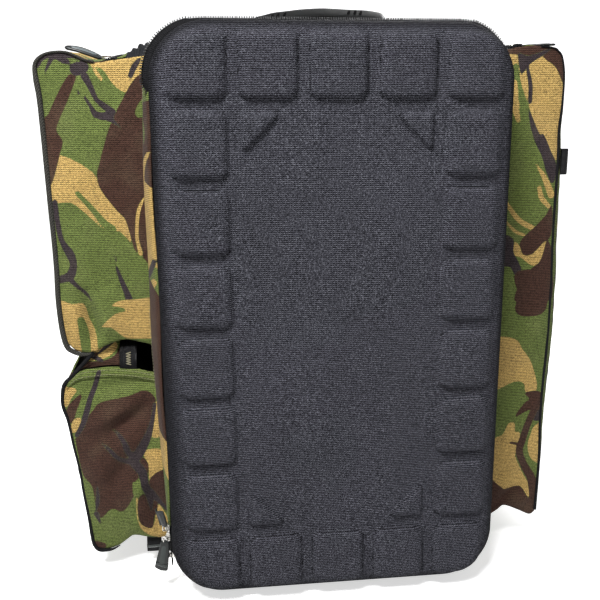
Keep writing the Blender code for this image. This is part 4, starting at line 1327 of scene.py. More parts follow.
def make_top(pocket, key, outer_x, split_x, inner_x, lid_node, strip_node, body, pleats):
    """Camouflage lid, zip tapes either side of the split, and the gathered strip by the bag."""
    side = pocket.side
    grid, chart = top_grid(pocket, outer_x, split_x + side * 0.0010, 34)
    height = crumple(chart.reshape(-1, 2), 21 if side < 0 else 22, 0.07, 0.0010).reshape(chart.shape[:2])
    rim = np.minimum(np.linspace(0, 1, grid.shape[1]), np.linspace(1, 0, grid.shape[1])) * 8
    grid[..., 2] += (height + 0.0006) * np.clip(rim, 0, 1)[None, :]
    faces = grid_faces(*grid.shape[:2])
    faces = faces[:, ::-1] if side < 0 else faces
    top = Build().add(grid, faces, chart, camo_fields(chart.reshape(-1, 2), pocket.sides))
    thicken(top.piece(f"{key}_top", ["camo", "liner"], body, "camo", lid_node), 0.0013, -1.0, 1)
    bag_side = 0.0052 if side < 0 else 0.0105
    tapes = {
        "lid": (body, split_x + side * 0.0105, split_x + side * 0.0006, 4, 0.0, -side),
        "bag": ("root", split_x - side * 0.0006, split_x - side * bag_side, 0, 0.5, side),
    }
    for half, (rides, x_from, x_to, column, start, way) in tapes.items():
        strip, flat = top_grid(pocket, x_from, x_to, 5)
        strip[..., 2] += 0.0011
        tape = Build().add(strip, grid_faces(*strip.shape[:2]), flat)
        thicken(tape.piece(f"{key}_{half}_zip_tape", "tape", rides, "zip_tape"), 0.0008, 0.0)
        zip_tooth_row(f"{key}_{half}_zip_teeth", strip, column, rides, start, way)
    seam_x = split_x - side * (0.0130 if side < 0 else 0.009)
    t = np.linspace(0, 1, TOP_ROWS)[:, None]
    ends = smooth_step(t * 6) * smooth_step((1 - t) * 6)
    if side < 0:
        strip, flat = top_grid(pocket, split_x - side * 0.0044, seam_x, 8)
        strip[..., 2] += 0.0020 + (STRIP_RISE - 0.0020) * np.linspace(0, 1, 8)[None, :] * ends
        fields = camo_fields(flat.reshape(-1, 2), INNER_TOP_PRINT)
        inner = Build().add(strip, grid_faces(*strip.shape[:2])[:, ::-1], flat, fields)
        thicken(inner.piece(f"{key}_inner_top", ["camo", "liner"], "root", "camo"), 0.0010, -1.0, 1)
    strip, flat = top_grid(pocket, seam_x, inner_x, 48)
    u = np.linspace(0, 1, 48)[None, :]
    wave = np.abs(np.sin(u * math.pi * pleats + 2.2 * t))
    folds = 0.0048 * (1 - wave) * np.sin(math.pi * u)
    strip[..., 2] += folds * smooth_step((1 - t) * 4) * smooth_step(t * 8) - 0.0002
    strip[..., 2] += 0.0050 * smooth_step(u * 1.4) * np.sin(math.pi * np.clip(t * 1.2, 0, 1)) ** 0.8
    strip[..., 2] += (STRIP_RISE if side < 0 else 0) * ends * (1 - smooth_step((u - 0.86) / 0.14))
    gathered = Build().add(strip, grid_faces(*strip.shape[:2]), flat)
    thicken(gathered.piece(f"{key}_gathered_strip", "black_cloth", "root", "zip_tape", strip_node), 0.0010, 0.0)


# ---------------------------------------------------------------- sliders and pullers


def make_slider(name, body, node, place, along, up):
    """A zip slider: two plates on a neck, and the bail that holds its puller."""
    place, along, up = (np.array(v, float) for v in (place, along, up))
    across = np.cross(along, up)
    build = Build()
    for level in (0.0015, -0.0021):
        middle = place + up * level
        line = np.array([middle + along * s for s in np.linspace(-0.0050, 0.0050, 9)])
        widths = np.array([0.55, 0.8, 0.9, 0.88, 0.86, 0.9, 1.0, 0.95, 0.7])
        build.add(*sweep(line, across, superellipse(0.0090, 0.0016, 4, 14), widths, 1.0))
    build.add(*bar(place - up * 0.002, place + up * 0.002, across, 0.0018, 0.0030, 3, 5))
    build.piece(name + "_body", "metal", body, "metal", node, 45)
    angle = np.linspace(0.0, math.pi, 13)
    line = [place + along * (-0.0038 * math.cos(a)) + up * (0.0020 + 0.0030 * math.sin(a)) for a in angle]
    swept(name + "_bail", "metal", body, "metal", np.array(line), across, (0.0026, 0.0012, 2.5, 8))


def ring(name, body, centre, a, b, wide, tall):
    """A wire link: an oval along a and b."""
    angle = np.linspace(0, TURN, 28, endpoint=True)
    centre, a, b = (np.array(v, float) for v in (centre, a, b))
    line = centre + np.cos(angle)[:, None] * a * wide / 2 + np.sin(angle)[:, None] * b * tall / 2
    across = np.cross(a, b)
    swept(name, "metal", body, "metal", line, across, (0.00143, 0.00143, 2, 8), cap=False)


def make_puller(name, body, node, line, across, widths, thick, face):
    """A moulded rubber puller: a dark rim with a lens let into both faces."""
    line = resample(smooth_curve(np.array(line, float), 6), 26)
    scale = np.interp(np.linspace(0, 1, 26), np.linspace(0, 1, len(widths)), widths)
    ends = rounded_ends(26, 0.16)
    size, scales = (1.0, thick, 3.2, 18), (scale * ends, np.maximum(ends, 0.4))
    swept(name + "_rim", "rim_rubber", body, "rubber", line, across, size, *scales, replaced=node)
    ends = rounded_ends(20, 0.3)
    size, scales = (1.0, thick + 0.0009, 2.4, 18), (scale[3:-3] * 0.62 * ends, np.maximum(ends, 0.5))
    swept(name + "_lens", face, body, "rubber", line[3:-3], across, size, *scales)


def make_front_sliders():
    """The two sliders at the lower left of the front zip, with links, pullers, the zip's stop and its tail."""
    for key, z, way in (("upper", 0.0790, 1), ("lower", 0.0685, -1)):
        slider_body = "front_upper_slider" if key == "upper" else "root"
        puller_body = f"front_{key}_puller"
        place = (-0.1915, -0.1150, z)
        make_slider(f"front_{key}_slider", slider_body, f"front_slider_{key}", place, (0, 0, way), (-0.85, -0.52, 0))
        centre = (-0.1960, -0.1192, z + way * 0.0025)
        ring(f"front_{key}_link", puller_body, centre, (0, 0, 1), (-0.72, -0.69, 0), 0.0085, 0.0062)
    across = (0.80, -0.60, 0)
    top = [
        (-0.1962, -0.1204, 0.0830), (-0.1972, -0.1212, 0.0900), (-0.1990, -0.1215, 0.0970), (-0.2008, -0.1212, 0.1040)
    ]
    make_puller(
        "front_upper_puller", "front_upper_puller", "front_puller_upper", top, across,
        [0.0075, 0.0100, 0.0112, 0.0112], 0.0030, "rim_rubber",
    )
    edge = [(x - 0.0046, y + 0.0034, z + 0.0008) for x, y, z in top]
    swept(
        "front_upper_puller_lip", "rubber", "front_upper_puller", "rubber", smooth_curve(edge, 4), across,
        (0.0014, 0.0032, 3, 8),
    )
    low = [
        (-0.1960, -0.1206, 0.0660), (-0.1980, -0.1212, 0.0540), (-0.2004, -0.1212, 0.0410), (-0.2030, -0.1210, 0.0280)
    ]
    broad = (0.96, -0.28, 0)
    make_puller(
        "front_lower_puller", "front_lower_puller", "front_puller_lower", low, broad,
        [0.0098, 0.0126, 0.0150, 0.0164], 0.0034, "rubber",
    )
    keeper = [(-0.2011, -0.1211, 0.0375), (-0.2019, -0.1211, 0.0340)]
    swept(
        "front_lower_puller_bead", "rubber", "front_lower_puller", "rubber", np.array(keeper), broad,
        (0.0156, 0.0046, 4, 16),
    )
    stop = Build().add(*bar((-0.1905, -0.1132, 0.0385), (-0.1905, -0.1132, 0.0455), (1, 0, 0), 0.0075, 0.0034, 5))
    stop.piece("front_zip_stop", "metal", "root", "metal")
    tail = [(-0.1898, 0.0300), (-0.1902, 0.0400), (-0.1905, 0.0500)]
    rows = np.array([[(x, y, z) for y in (-0.1165, -0.1130, -0.1080)] for x, z in tail])
    end = Build().add(rows, grid_faces(3, 3), rows[..., 1:])
    thicken(end.piece("front_zip_tail", "tape", "root", "zip_tape"), 0.0010, 0.0)


def make_top_sliders():
    """The slider, link and puller on each side pocket's top."""
    widths = [0.0060, 0.0092, 0.0104, 0.0088, 0.0050]
    for key, away, place, start, rise, across, thick, face in (
        (
            "left_upper", -1, (-0.2328, -0.0530, 0.6000), (-0.0098, 0, 0.0045), 0.0112, (0, 0.80, 0.60), 0.0034,
            "pale_rubber",
        ),
        ("right", 1, (0.2220, -0.0530, 0.6165), (0.0070, 0, 0.0032), 0.0022, (0, 0.99, 0.14), 0.0028, "rim_rubber"),
    ):
        puller = f"{key}_zip_puller"
        make_slider(f"{key}_slider", f"{key}_zip_slider", f"{key}_slider", place, (0, 1, 0), (0.0, -0.16, 0.987))
        centre = np.array(place) + np.array([-0.0045, -0.0005, 0.0050])
        ring(f"{key}_link", puller, centre, (1, 0, 0.2), (0, 1, 0.1), 0.0095, 0.0058)
        line = []
        for run in (0.0, 0.012, 0.025, 0.0385):
            lift = rise * math.sin(0.5 * math.pi * run / 0.040)
            line.append(np.array(place) + np.array(start) + np.array([away * run, -0.025 * run, lift]))
        make_puller(f"{key}_puller", puller, f"{key}_puller", line, across, widths, thick, face)


# ---------------------------------------------------------------- flaps and the lower pocket's top


FLAP_SEAM = [
    (-195, 80), (-196, 101), (-200, 166), (-202, 236), (-204, 303), (-203, 374), (-203, 453), (-202, 508),
    (-199, 560), (-197, 592),
]
FOLD_PRINT = [
    ("brown", [(-300, 252), (-290, 266), (-262, 268), (-249, 273), (-243, 284), (-234, 284), (-232, 250)]),
    ("tan", [(-284, 269), (-262, 270), (-250, 276), (-247, 284), (-256, 291), (-272, 290), (-284, 282)]),
    ("black", [(-281, 274, 3), (-272, 272, 5), (-264, 268, 4)]),
    ("black", [(-268, 276, 2), (-259, 283, 4), (-250, 289, 3)]),
    ("brown", [(-276, 279, 4), (-270, 275, 4)]),
]


def make_flaps():
    """The storm flaps that run up both sides of the front zip."""
    seam = edge_curve(FLAP_SEAM, 190)
    across = np.array([
        (0, 0.0, -0.1172), (0.30, 0.0012, -0.1060), (0.62, 0.0016, -0.0920), (0.88, 0.0010, -0.0790),
        (1.0, 0.0002, -0.0695), (1.04, -0.0010, -0.0672),
    ])
    for key, side in SIDES:
        z = seam[:, 1]
        seam_x = np.abs(seam[:, 0]) if side < 0 else np.full(len(z), 0.1975)
        front_x = 0.1898 + 0.0010 * np.sin(z * 31)
        rows, charts, flats = [], [], []
        arc, previous = 0.0, None
        for share, out, y in across:
            x = front_x * (1 - share) + seam_x * share + out
            depth = np.full(len(z), y)
            back = smooth_step((z - 0.565) / 0.016)
            depth = np.minimum(depth + back * 0.030 * (1 - share), -0.0672)
            point = np.stack([side * x, depth, z], axis=1)
            if previous is not None:
                arc = arc + np.linalg.norm(point - previous, axis=1)
            previous = point
            rows.append(point)
            charts.append(np.stack([np.full(len(z), -0.1880) - 0.016 * share, z], axis=1))
            flats.append(np.stack([arc + np.zeros(len(z)), z], axis=1))
        grid, chart, flat = np.array(rows), np.array(charts), np.array(flats)
        layers = FLAP_PRINT if side < 0 else random_layers(31, (-0.24, -0.15), (0.05, 0.62))
        faces = grid_faces(*grid.shape[:2])
        faces = faces[:, ::-1] if side < 0 else faces
        build = Build().add(grid, faces, flat, camo_fields(chart.reshape(-1, 2), layers))
        flap = build.piece(f"{key}_storm_flap", ["camo", "liner"], "root", "camo", f"storm_flap_{key}")
        thicken(flap, 0.0012, 0.0, 1)
        line = grid[4, 4:-4] + np.array([side * 0.0012, -0.0010, 0])
        stitches(f"{key}_flap_stitches", line, (side * 0.5, -0.86, 0), "root", 0.0038, 0.0024, gauge=0.0006)


def make_lower_top():
    """The lower pocket's hem, the gusset folded in above it, a near-black sheet in its mouth as painted shade, and the
    strap it hangs from.
    """
    grid = LOWER.front[2:-2, -5:] - np.array([0, 0.0013, 0])
    chart = LOWER.front_chart[2:-2, -5:]
    fields = camo_fields(chart.reshape(-1, 2), LEFT_LOWER_PRINT)
    build = Build().add(grid, grid_faces(*grid.shape[:2])[:, ::-1], chart, fields)
    thicken(build.piece("left_lower_hem_band", "camo", "root", "camo", "left_lower_hem"), 0.0008, 0.0)
    for k, column in ((0, 3), (1, 1)):
        line = grid[2:-2, column] - np.array([0, 0.0007, 0])
        stitches(f"left_lower_hem_stitches_{k}", line, (0, -1, 0), "root", 0.0036, 0.0023, gauge=0.0005)
    low = np.array([
        (-303, -0.0640, 246), (-297, -0.0635, 252), (-287, -0.0630, 258.5), (-268, -0.0625, 261),
        (-249, -0.0620, 261.5), (-226, -0.0615, 258.5),
    ])
    high = np.array([
        (-301, -0.0642, 249), (-292, -0.0642, 258), (-282, -0.0635, 268), (-270, -0.0610, 281), (-252, -0.0540, 288),
        (-236, -0.0330, 287),
    ])
    low[:, [0, 2]] *= MM
    high[:, [0, 2]] *= MM
    low, high = resample(smooth_curve(low, 6), 60), resample(smooth_curve(high, 6), 60)
    t = np.linspace(0, 1, 26)[:, None, None]
    fold = low[None] * (1 - t) + high[None] * t
    u = np.linspace(0, 1, 60)[None, :]
    fold[..., 1] += 0.0016 * np.sin(t[..., 0] * 7 + u * 5) * np.sin(math.pi * t[..., 0])
    fold_chart = np.stack([fold[..., 0], fold[..., 2]], axis=-1)
    build = Build().add(
        fold, grid_faces(26, 60)[:, ::-1], fold_chart, camo_fields(fold_chart.reshape(-1, 2), FOLD_PRINT)
    )
    gusset = build.piece("left_lower_top_gusset", ["camo", "liner"], "root", "camo")
    thicken(gusset, 0.0010, 0.0, 1)
    # A near-black sheet across the pocket's mouth: painted shade inside the pocket.
    inside = Build()
    x = np.linspace(-0.295, -POCKET_INNER, 24)
    y = np.linspace(-0.020, POCKET_BACK - 0.004, 22)
    xx, yy = np.meshgrid(x, y)
    sag = 0.240 + 0.010 * np.sin(xx * 70) * np.sin(yy * 40 + 1) + 0.03 * smooth_step((yy - 0.02) / 0.05)
    inside.add(np.stack([xx, yy, sag], axis=-1), grid_faces(22, 24), np.stack([xx, yy], axis=-1))
    mouth = inside.piece("left_lower_mouth_lining", "dark_lining", "root", "liner")
    thicken(mouth, 0.0010, 0.0)
    hang = [
        (-0.2335, -0.0640, 0.2510), (-0.2335, -0.0668, 0.2590), (-0.2335, -0.0655, 0.2690),
        (-0.2338, -0.0600, 0.2790), (-0.2342, -0.0490, 0.2870), (-0.2345, -0.0360, 0.2900),
    ]
    swept(
        "left_hanger_webbing", "gloss_webbing", "root", "webbing", smooth_curve(hang, 6), (1, 0, 0.12),
        (0.0200, 0.0018, 6, 16), replaced="left_hanger_strap",
    )
    zigzag = [(-0.2300 - 0.0056 * (k % 2), -0.0678 + 0.00004 * k * k, 0.2630 + 0.0014 * k) for k in range(11)]
    swept("left_hanger_zigzag", "thread", "root", "webbing", resample(zigzag, 70), (0, 1, 0), (0.0010, 0.0010, 2, 6))
    tab = [(-0.2165, -0.0560, 0.0340), (-0.2165, -0.0585, 0.0255), (-0.2165, -0.0592, 0.0165)]
    swept(
        "left_base_loop", "webbing", "root", "webbing", smooth_curve(tab, 5), (1, 0, 0), (0.0180, 0.0030, 5, 16),
        replaced="left_base_tab",
    )
    band_line = [(-0.2165, -0.0586, 0.0250), (-0.2165, -0.0592, 0.0215)]
    swept(
        "left_base_loop_keeper", "rubber", "root", "rubber", np.array(band_line), (1, 0, 0), (0.0184, 0.0036, 5, 16)
    )


# ---------------------------------------------------------------- side loops, buckles and handle


def make_side_fittings():
    """The webbing loop high on each side, and the two buckles low on the right one."""
    loops = {
        "left": [
            (-0.3110, -0.0340), (-0.3157, -0.0290), (-0.3175, -0.0210),
            (-0.3175, -0.0140), (-0.3157, -0.0060), (-0.3120, 0.0010),
        ],
        "right": [
            (0.2770, -0.0680), (0.2829, -0.0678), (0.287974, -0.0600), (0.2888, -0.0460),
            (0.287974, -0.0320), (0.28408, -0.0235), (0.28172, -0.0190),
        ],
    }
    for key, path in loops.items():
        line = smooth_curve([(x, y, 0.4900) for x, y in path], 6)
        size = (0.0300, 0.0017, 7, 20)
        swept(f"{key}_webbing_loop", "webbing", "root", "webbing", line, (0, 0, 1), size, replaced=f"{key}_side_loop")
    for key, z in (("lower", 0.0740), ("upper", 0.1480)):
        inner, outer, y = 0.2900, 0.3085, 0.0040
        build = Build()
        for x, reach in ((inner, 0.0150), (outer, 0.0135), (inner + 0.0085, 0.0145)):
            build.add(*bar((x, y, z - reach), (x, y, z + reach), (0, 1, 0), 0.0044, 0.0034, 3, 7))
        for way in (1, -1):
            ends = (inner - 0.001, y, z + way * 0.0142), (outer + 0.001, y, z + way * 0.0130)
            build.add(*bar(*ends, (0, 1, 0), 0.0044, 0.0034, 3, 7))
        build.piece(f"right_{key}_triglide", "plastic", "root", "plastic", replaced=f"right_side_buckle_{key}")
        path = [(0.2770, 0.0085), (0.2900, 0.0078), (0.2945, 0.0040), (0.2900, 0.0006), (0.2770, 0.0002)]
        line = smooth_curve([(x, depth, z) for x, depth in path], 6)
        swept(f"right_{key}_buckle_tab", "webbing", "root", "webbing", line, (0, 0, 1), (0.0250, 0.0016, 7, 16))


HANDLE_PROFILE = [
    (-87, 627), (-85, 637), (-80, 645.5), (-73.5, 650.5), (-64, 653), (-53.7, 655.5), (-40, 657.2), (-26, 659),
    (-9, 660.3), (5, 660.6), (25, 659.7), (48, 659), (62.7, 657.3), (67.5, 655.5), (70.5, 651), (74.5, 643),
    (80, 634), (86, 627),
]


def make_handle():
    """A strap handle with a moulded grip: it arches from one sewn end to the other."""
    curve = smooth_curve(np.array(HANDLE_PROFILE, float) * MM, 6)
    line = np.stack([curve[:, 0], np.full(len(curve), -0.0400), curve[:, 1] - 0.0050], axis=1)
    n = len(line)
    thick = np.interp(np.linspace(0, 1, n), [0, 0.12, 0.25, 0.5, 0.75, 0.88, 1], [0.6, 0.9, 1.0, 1.0, 1.0, 0.9, 0.6])
    swept(
        "grab_handle_grip", "grip_rubber", "grab_handle", "webbing", line, (0, 0.80, 0.60), (0.0180, 0.0040, 4, 24),
        1.0, thick, replaced="carry_handle",
    )
    under = line[6:-6] + np.array([0, 0.0016, -0.0022])
    swept("grab_handle_webbing", "webbing", "grab_handle", "webbing", under, (0, 0.80, 0.60), (0.0150, 0.0022, 6, 16))
    # The grip's slots as near-black bars: painted shade in the slots.
    slots = Build()
    for x in (-0.0570, -0.0505, -0.0430, 0.0290, 0.0360, 0.0425):
        z = np.interp(x, curve[:, 0], curve[:, 1])
        middle = np.array([x, -0.0412, z - 0.0034])
        reach = np.array([0.0016, 0.0040, 0.0030])
        slots.add(*bar(middle - reach, middle + reach, (1, 0, 0), 0.0030, 0.0012, 3, 7))
    slots.piece("grab_handle_grip_slots", "dark_lining", "grab_handle", "webbing")
    for key, side in SIDES:
        line = [
            (side * x, -0.0400, z)
            for x, z in ((0.0620, 0.6224), (0.0720, 0.6238), (0.0870, 0.6232), (0.1010, 0.6222), (0.1120, 0.6216))
        ]
        band_line = smooth_curve(line, 5)
        swept(
            f"handle_tab_{key}", "webbing", "root", "webbing", band_line, (0, 1, 0), (0.0270, 0.0014, 7, 20),
            replaced=f"handle_anchor_{key}",
        )
        for k, x in enumerate((0.094, 0.108)):
            row = [(side * x, y, 0.6234 - (x - 0.094) * 0.05) for y in (-0.0520, -0.0280)]
            stitches(f"handle_tab_{key}_stitches_{k}", np.array(row), (0, 0, 1), "root", 0.0030, 0.0020, gauge=0.0007)


# ---------------------------------------------------------------- the bag itself


def ring_path(half, low, high, step):
    """A closed rounded rectangle in x and z, from the middle of its floor."""
    radius = BAG_RADIUS
    x, bottom, top = half - radius, low + radius, high - radius
    corners = [(x, bottom, -0.25), (x, top, 0.0), (-x, top, 0.25), (-x, bottom, 0.5)]
    points = [(0.0, low)]
    for cx, cz, start in corners:
        angle = (start + np.linspace(0, 0.25, 9)) * TURN
        points += [(cx + radius * math.cos(a), cz + radius * math.sin(a)) for a in angle]
    points = np.array(points + [(0.0, low)])
    return resample(points, int(lengths(points)[-1] / step))


def make_bag():
    """The bag's walls and back, with piping along both of its edges."""
    low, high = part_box("main_gusset")
    path = ring_path(high.x - 0.0006, low.z, high.z, 0.0040)[:-1]
    run = lengths(path)
    y = np.linspace(low.y, high.y + 0.004, 44)
    out = np.stack([path[:, 0], path[:, 1] - (low.z + high.z) / 2], axis=1)
    out /= np.linalg.norm(out, axis=1)[:, None]
    grid = np.stack([np.stack([path[:, 0], np.full(len(path), v), path[:, 1]], axis=1) for v in y], axis=1)
    chart = np.stack(np.broadcast_arrays(run[:, None], y[None, :]), axis=-1)
    wrinkle = crumple(chart.reshape(-1, 2), 41, 0.09, 0.0011).reshape(chart.shape[:2]) - 0.0012
    edge = smooth_step(np.minimum(y - y[0], y[-1] - y) / 0.02)[None, :]
    grid[..., 0] += out[:, None, 0] * wrinkle * edge
    grid[..., 2] += out[:, None, 1] * wrinkle * edge * (np.abs(out[:, None, 1]) > 0.2)
    layers = random_layers(51, (-0.05, 2.35), (-0.15, 0.16))
    fields = camo_fields(chart.reshape(-1, 2), layers)
    faces = grid_faces(len(path), len(y), wrap_rows=True)
    walls = Build().add(grid, faces[:, ::-1], chart, fields)
    thicken(walls.piece("bag_walls", ["camo", "liner"], "root", "camo", "main_gusset"), 0.0022, -1.0, 1)
    back = ring_path(high.x - 0.0010, low.z + 0.0005, high.z - 0.0005, 0.0040)[:-1]
    shares = np.linspace(1.0, 0.02, 26)
    centre = np.array([0.0, (low.z + high.z) / 2])
    rows = [centre + (back - centre) * s for s in shares]
    grid = np.stack([np.stack([r[:, 0], np.full(len(r), 0.1292), r[:, 1]], axis=1) for r in rows])
    flat = grid[..., [0, 2]]
    dents = crumple(flat.reshape(-1, 2), 43, 0.11, 0.0008).reshape(grid.shape[:2])
    grid[..., 1] += dents * smooth_step((1 - shares) * 8)[:, None] - 0.0004
    faces = [list(f) for f in grid_faces(len(shares), len(back), wrap_columns=True)]
    faces.append([(len(shares) - 1) * len(back) + k for k in range(len(back))][::-1])
    wall = Build().add(grid, faces, flat)
    thicken(wall.piece("bag_back", ["black_cloth", "liner"], "root", "liner", "main_back_wall"), 0.0020, 1.0, 1)
    for key, depth in (("back", 0.1290), ("front", -0.1035)):
        cord_path = ring_path(high.x + 0.0004, low.z - 0.0004, high.z + 0.0006, 0.0050)
        line = np.stack([cord_path[:, 0], np.full(len(cord_path), depth), cord_path[:, 1]], axis=1)
        swept(f"bag_{key}_piping", "binding", "root", "binding", line, (0, 1, 0), (0.0036, 0.0036, 2, 8), cap=False)


# ---------------------------------------------------------------- the harness on the back


STRAP_PATH = [
    (0.066, 0.1440, 0.590), (0.068, 0.1600, 0.570), (0.072, 0.1740, 0.520), (0.080, 0.1800, 0.450),
    (0.092, 0.1800, 0.370), (0.104, 0.1760, 0.290), (0.112, 0.1700, 0.240),
]
SIM_FRAMES = 20
SIM_PRESSURE = 4.0


def rounded(corners, radius, parts=7):
    """A polygon in x and z with rounded corners."""
    made = []
    corners = np.asarray(corners, float)
    for k, corner in enumerate(corners):
        before, after = corners[k - 1], corners[(k + 1) % len(corners)]
        a = corner + (before - corner) / np.linalg.norm(before - corner) * radius
        b = corner + (after - corner) / np.linalg.norm(after - corner) * radius
        for t in np.linspace(0, 1, parts):
            made.append(a * (1 - t) ** 2 + corner * 2 * t * (1 - t) + b * t**2)
    return resample(np.vstack([made, made[:1]]), 160)[:-1]


def rounded_box(node, radius):
    low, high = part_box(node)
    return rounded([(low.x, low.z), (high.x, low.z), (high.x, high.z), (low.x, high.z)], radius)


def inset(outline, distance):
    """The outline moved inward, for one that runs counterclockwise."""
    along = np.roll(outline, -1, 0) - np.roll(outline, 1, 0)
    along /= np.linalg.norm(along, axis=1)[:, None]
    return outline + np.stack([-along[:, 1], along[:, 0]], axis=1) * distance


def slab(outline, rings):
    """A closed shape from one outline, with a ring at each inset and y."""
    points = []
    for distance, y in rings:
        ring_at = inset(outline, distance)
        points.append(np.stack([ring_at[:, 0], np.full(len(ring_at), y), ring_at[:, 1]], axis=1))
    faces = [list(face) for face in grid_faces(len(rings), len(outline), wrap_columns=True)]
    last = (len(rings) - 1) * len(outline)
    faces.append(list(range(len(outline)))[::-1])
    faces.append([last + k for k in range(len(outline))])
    return np.concatenate(points), faces


def bake(obj):
    """Puts the result of the object's modifiers in its mesh."""
    bpy.context.view_layer.update()
    made = bpy.data.meshes.new_from_object(obj.evaluated_get(bpy.context.evaluated_depsgraph_get()))
    obj.modifiers.clear()
    obj.data = made


def coordinates(mesh):
    found = np.empty(len(mesh.vertices) * 3)
    mesh.vertices.foreach_get("co", found)
    return found.reshape(-1, 3)


def swell(obj, cap):
    """Cloth under pressure rounds the shape out, by no more than cap."""
    start = coordinates(obj.data)
    cloth = obj.modifiers.new("Cloth", "CLOTH")
    cloth.settings.use_pressure = True
    cloth.settings.uniform_pressure_force = SIM_PRESSURE
    cloth.settings.effector_weights.gravity = 0
    cloth.point_cache.frame_start = 1
    cloth.point_cache.frame_end = SIM_FRAMES
    for number in range(1, SIM_FRAMES + 1):
        bpy.context.scene.frame_set(number)
    bake(obj)
    bpy.context.scene.frame_set(1)
    step = coordinates(obj.data) - start
    size = np.linalg.norm(step, axis=1)[:, None] + 1e-9
    obj.data.vertices.foreach_set("co", (start + step * np.minimum(1, cap / size)).ravel())


def finish_pad(obj, body, node):
    obj.data.shade_smooth()
    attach(obj, body)
    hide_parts(node)
    return obj


def make_pad(name, shape, body, node, cap, voxel, after, worn_side):
    """A foam pad: cloth swells it, its channels are pressed in after that, and the side against the wearer is spacer
    mesh.
    """
    mesh = bpy.data.meshes.new(name)
    mesh.from_pydata(np.asarray(shape[0]).tolist(), [], [[int(k) for k in face] for face in shape[1]])
    obj = bpy.data.objects.new(name, mesh)
    bpy.context.scene.collection.objects.link(obj)
    remesh = obj.modifiers.new("Remesh", "REMESH")
    remesh.mode = "VOXEL"
    remesh.voxel_size = voxel
    bake(obj)
    swell(obj, cap)
    finer = obj.modifiers.new("Finer", "SUBSURF")
    finer.levels = finer.render_levels = 1
    bake(obj)
    obj.data.vertices.foreach_set("co", after(coordinates(obj.data)).ravel())
    obj.data.update()
    obj.data.materials.clear()
    for key in ("strap_cloth", "air_mesh"):
        obj.data.materials.append(MAT[key])
    normals = np.empty(len(obj.data.polygons) * 3)
    obj.data.polygons.foreach_get("normal", normals)
    worn = normals.reshape(-1, 3)[:, 1] * worn_side > 0.35
    obj.data.polygons.foreach_set("material_index", worn.astype(np.int32))
    return finish_pad(obj, body, node)


def mirror_pad(obj, name, body, node):
    mesh = obj.data.copy()
    mesh.transform(Matrix.Scale(-1, 4, (1, 0, 0)))
    mesh.flip_normals()
    twin = bpy.data.objects.new(name, mesh)
    bpy.context.scene.collection.objects.link(twin)
    finish_pad(twin, body, node)


def press(points, back, depth, distance, width):
    """Presses a channel towards back where distance, in metres from its middle, is small."""
    made = points.copy()
    share = np.clip((points[:, 1] - back) / 0.010, 0, 1)
    made[:, 1] -= depth * np.exp(-((distance / width) ** 2)) * share
    return made


def edge_binding(name, outline, y, body, width, thick):
    """Binding tape folded over the edge of a pad, all the way round."""
    line = np.stack([outline[:, 0], np.full(len(outline), y), outline[:, 1]], axis=1)
    line = np.vstack([line, line[:1]])
    swept(name, "binding", body, "binding", line, (0, 1, 0), (thick, width, 3, 12), cap=False)


def flat_row(name, ends, y, pitch=0.0056):
    """A row of dark stitches on the bag's back, between two points in x and z."""
    line = np.array([(x, y, z) for x, z in ends], float)
    stitches(name, resample(line, 60), (0, 1, 0), "root", pitch, 0.0036, "dark_thread", 0.0008)


def bar_tack(name, start, end, out, body, count=20, gauge=0.0010):
    """Dense dark stitches that hold webbing down."""
    line = resample(np.array([start, end]), count)
    stitches(name, line, out, body, 0.0024, 0.0018, "dark_thread", gauge)


def make_back_pads():
    """The cushion on the back and the lumbar cushion under it."""
    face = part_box("back_pad")[0].y
    outline = rounded_box("back_pad", 0.034)
    shape = slab(outline, [(0.004, face), (0.002, face + 0.004), (0.007, face + 0.0105), (0.019, face + 0.0125)])

    def back_channels(points):
        made = press(points, face, 0.0075, np.abs(points[:, 0]), 0.0125)
        for z in CUSHION_CHANNELS:
            side = np.where(np.abs(points[:, 0]) > 0.018, 0.0, 0.05)
            made = press(made, face, 0.0050, np.abs(points[:, 2] - z) + side, 0.0050)
        made[:, 1] = np.maximum(made[:, 1], face)
        return made

    make_pad("back_cushion", shape, "root", "back_pad", 0.0045, 0.005, back_channels, 1)
    edge_binding("back_cushion_binding", inset(outline, 0.002), face + 0.0028, "root", 0.0120, 0.0052)
    for key, side in SIDES:
        flat_row(f"back_cushion_channel_{key}", [(side * 0.0130, 0.206), (side * 0.0130, 0.546)], face + 0.0101)
        for k, z in enumerate(CUSHION_CHANNELS):
            flat_row(f"back_cushion_row_{key}_{k}", [(side * 0.024, z), (side * 0.128, z)], face + 0.0094)
    lumbar = rounded_box("lumbar_pad", 0.030)
    shape = slab(lumbar, [(0.004, face), (0.002, face + 0.005), (0.008, face + 0.0145), (0.020, face + 0.0180)])

    def lumbar_channels(points):
        made = press(
            points, face, 0.0060, np.abs(points[:, 2] - 0.0975) + np.where(np.abs(points[:, 0]) > 0.085, 0.05, 0),
            0.0050,
        )
        for x in LUMBAR_CHANNELS:
            made = press(made, face, 0.0060, np.abs(points[:, 0] - x), 0.0050)
        made[:, 1] = np.maximum(made[:, 1], face)
        return made

    make_pad("lumbar_cushion", shape, "root", "lumbar_pad", 0.0045, 0.005, lumbar_channels, 1)
    edge_binding("lumbar_cushion_binding", inset(lumbar, 0.002), face + 0.0030, "root", 0.0120, 0.0055)
    for x in LUMBAR_CHANNELS:
        flat_row(f"lumbar_row_{'left' if x < 0 else 'right'}", [(x, 0.058), (x, 0.137)], face + 0.0154)


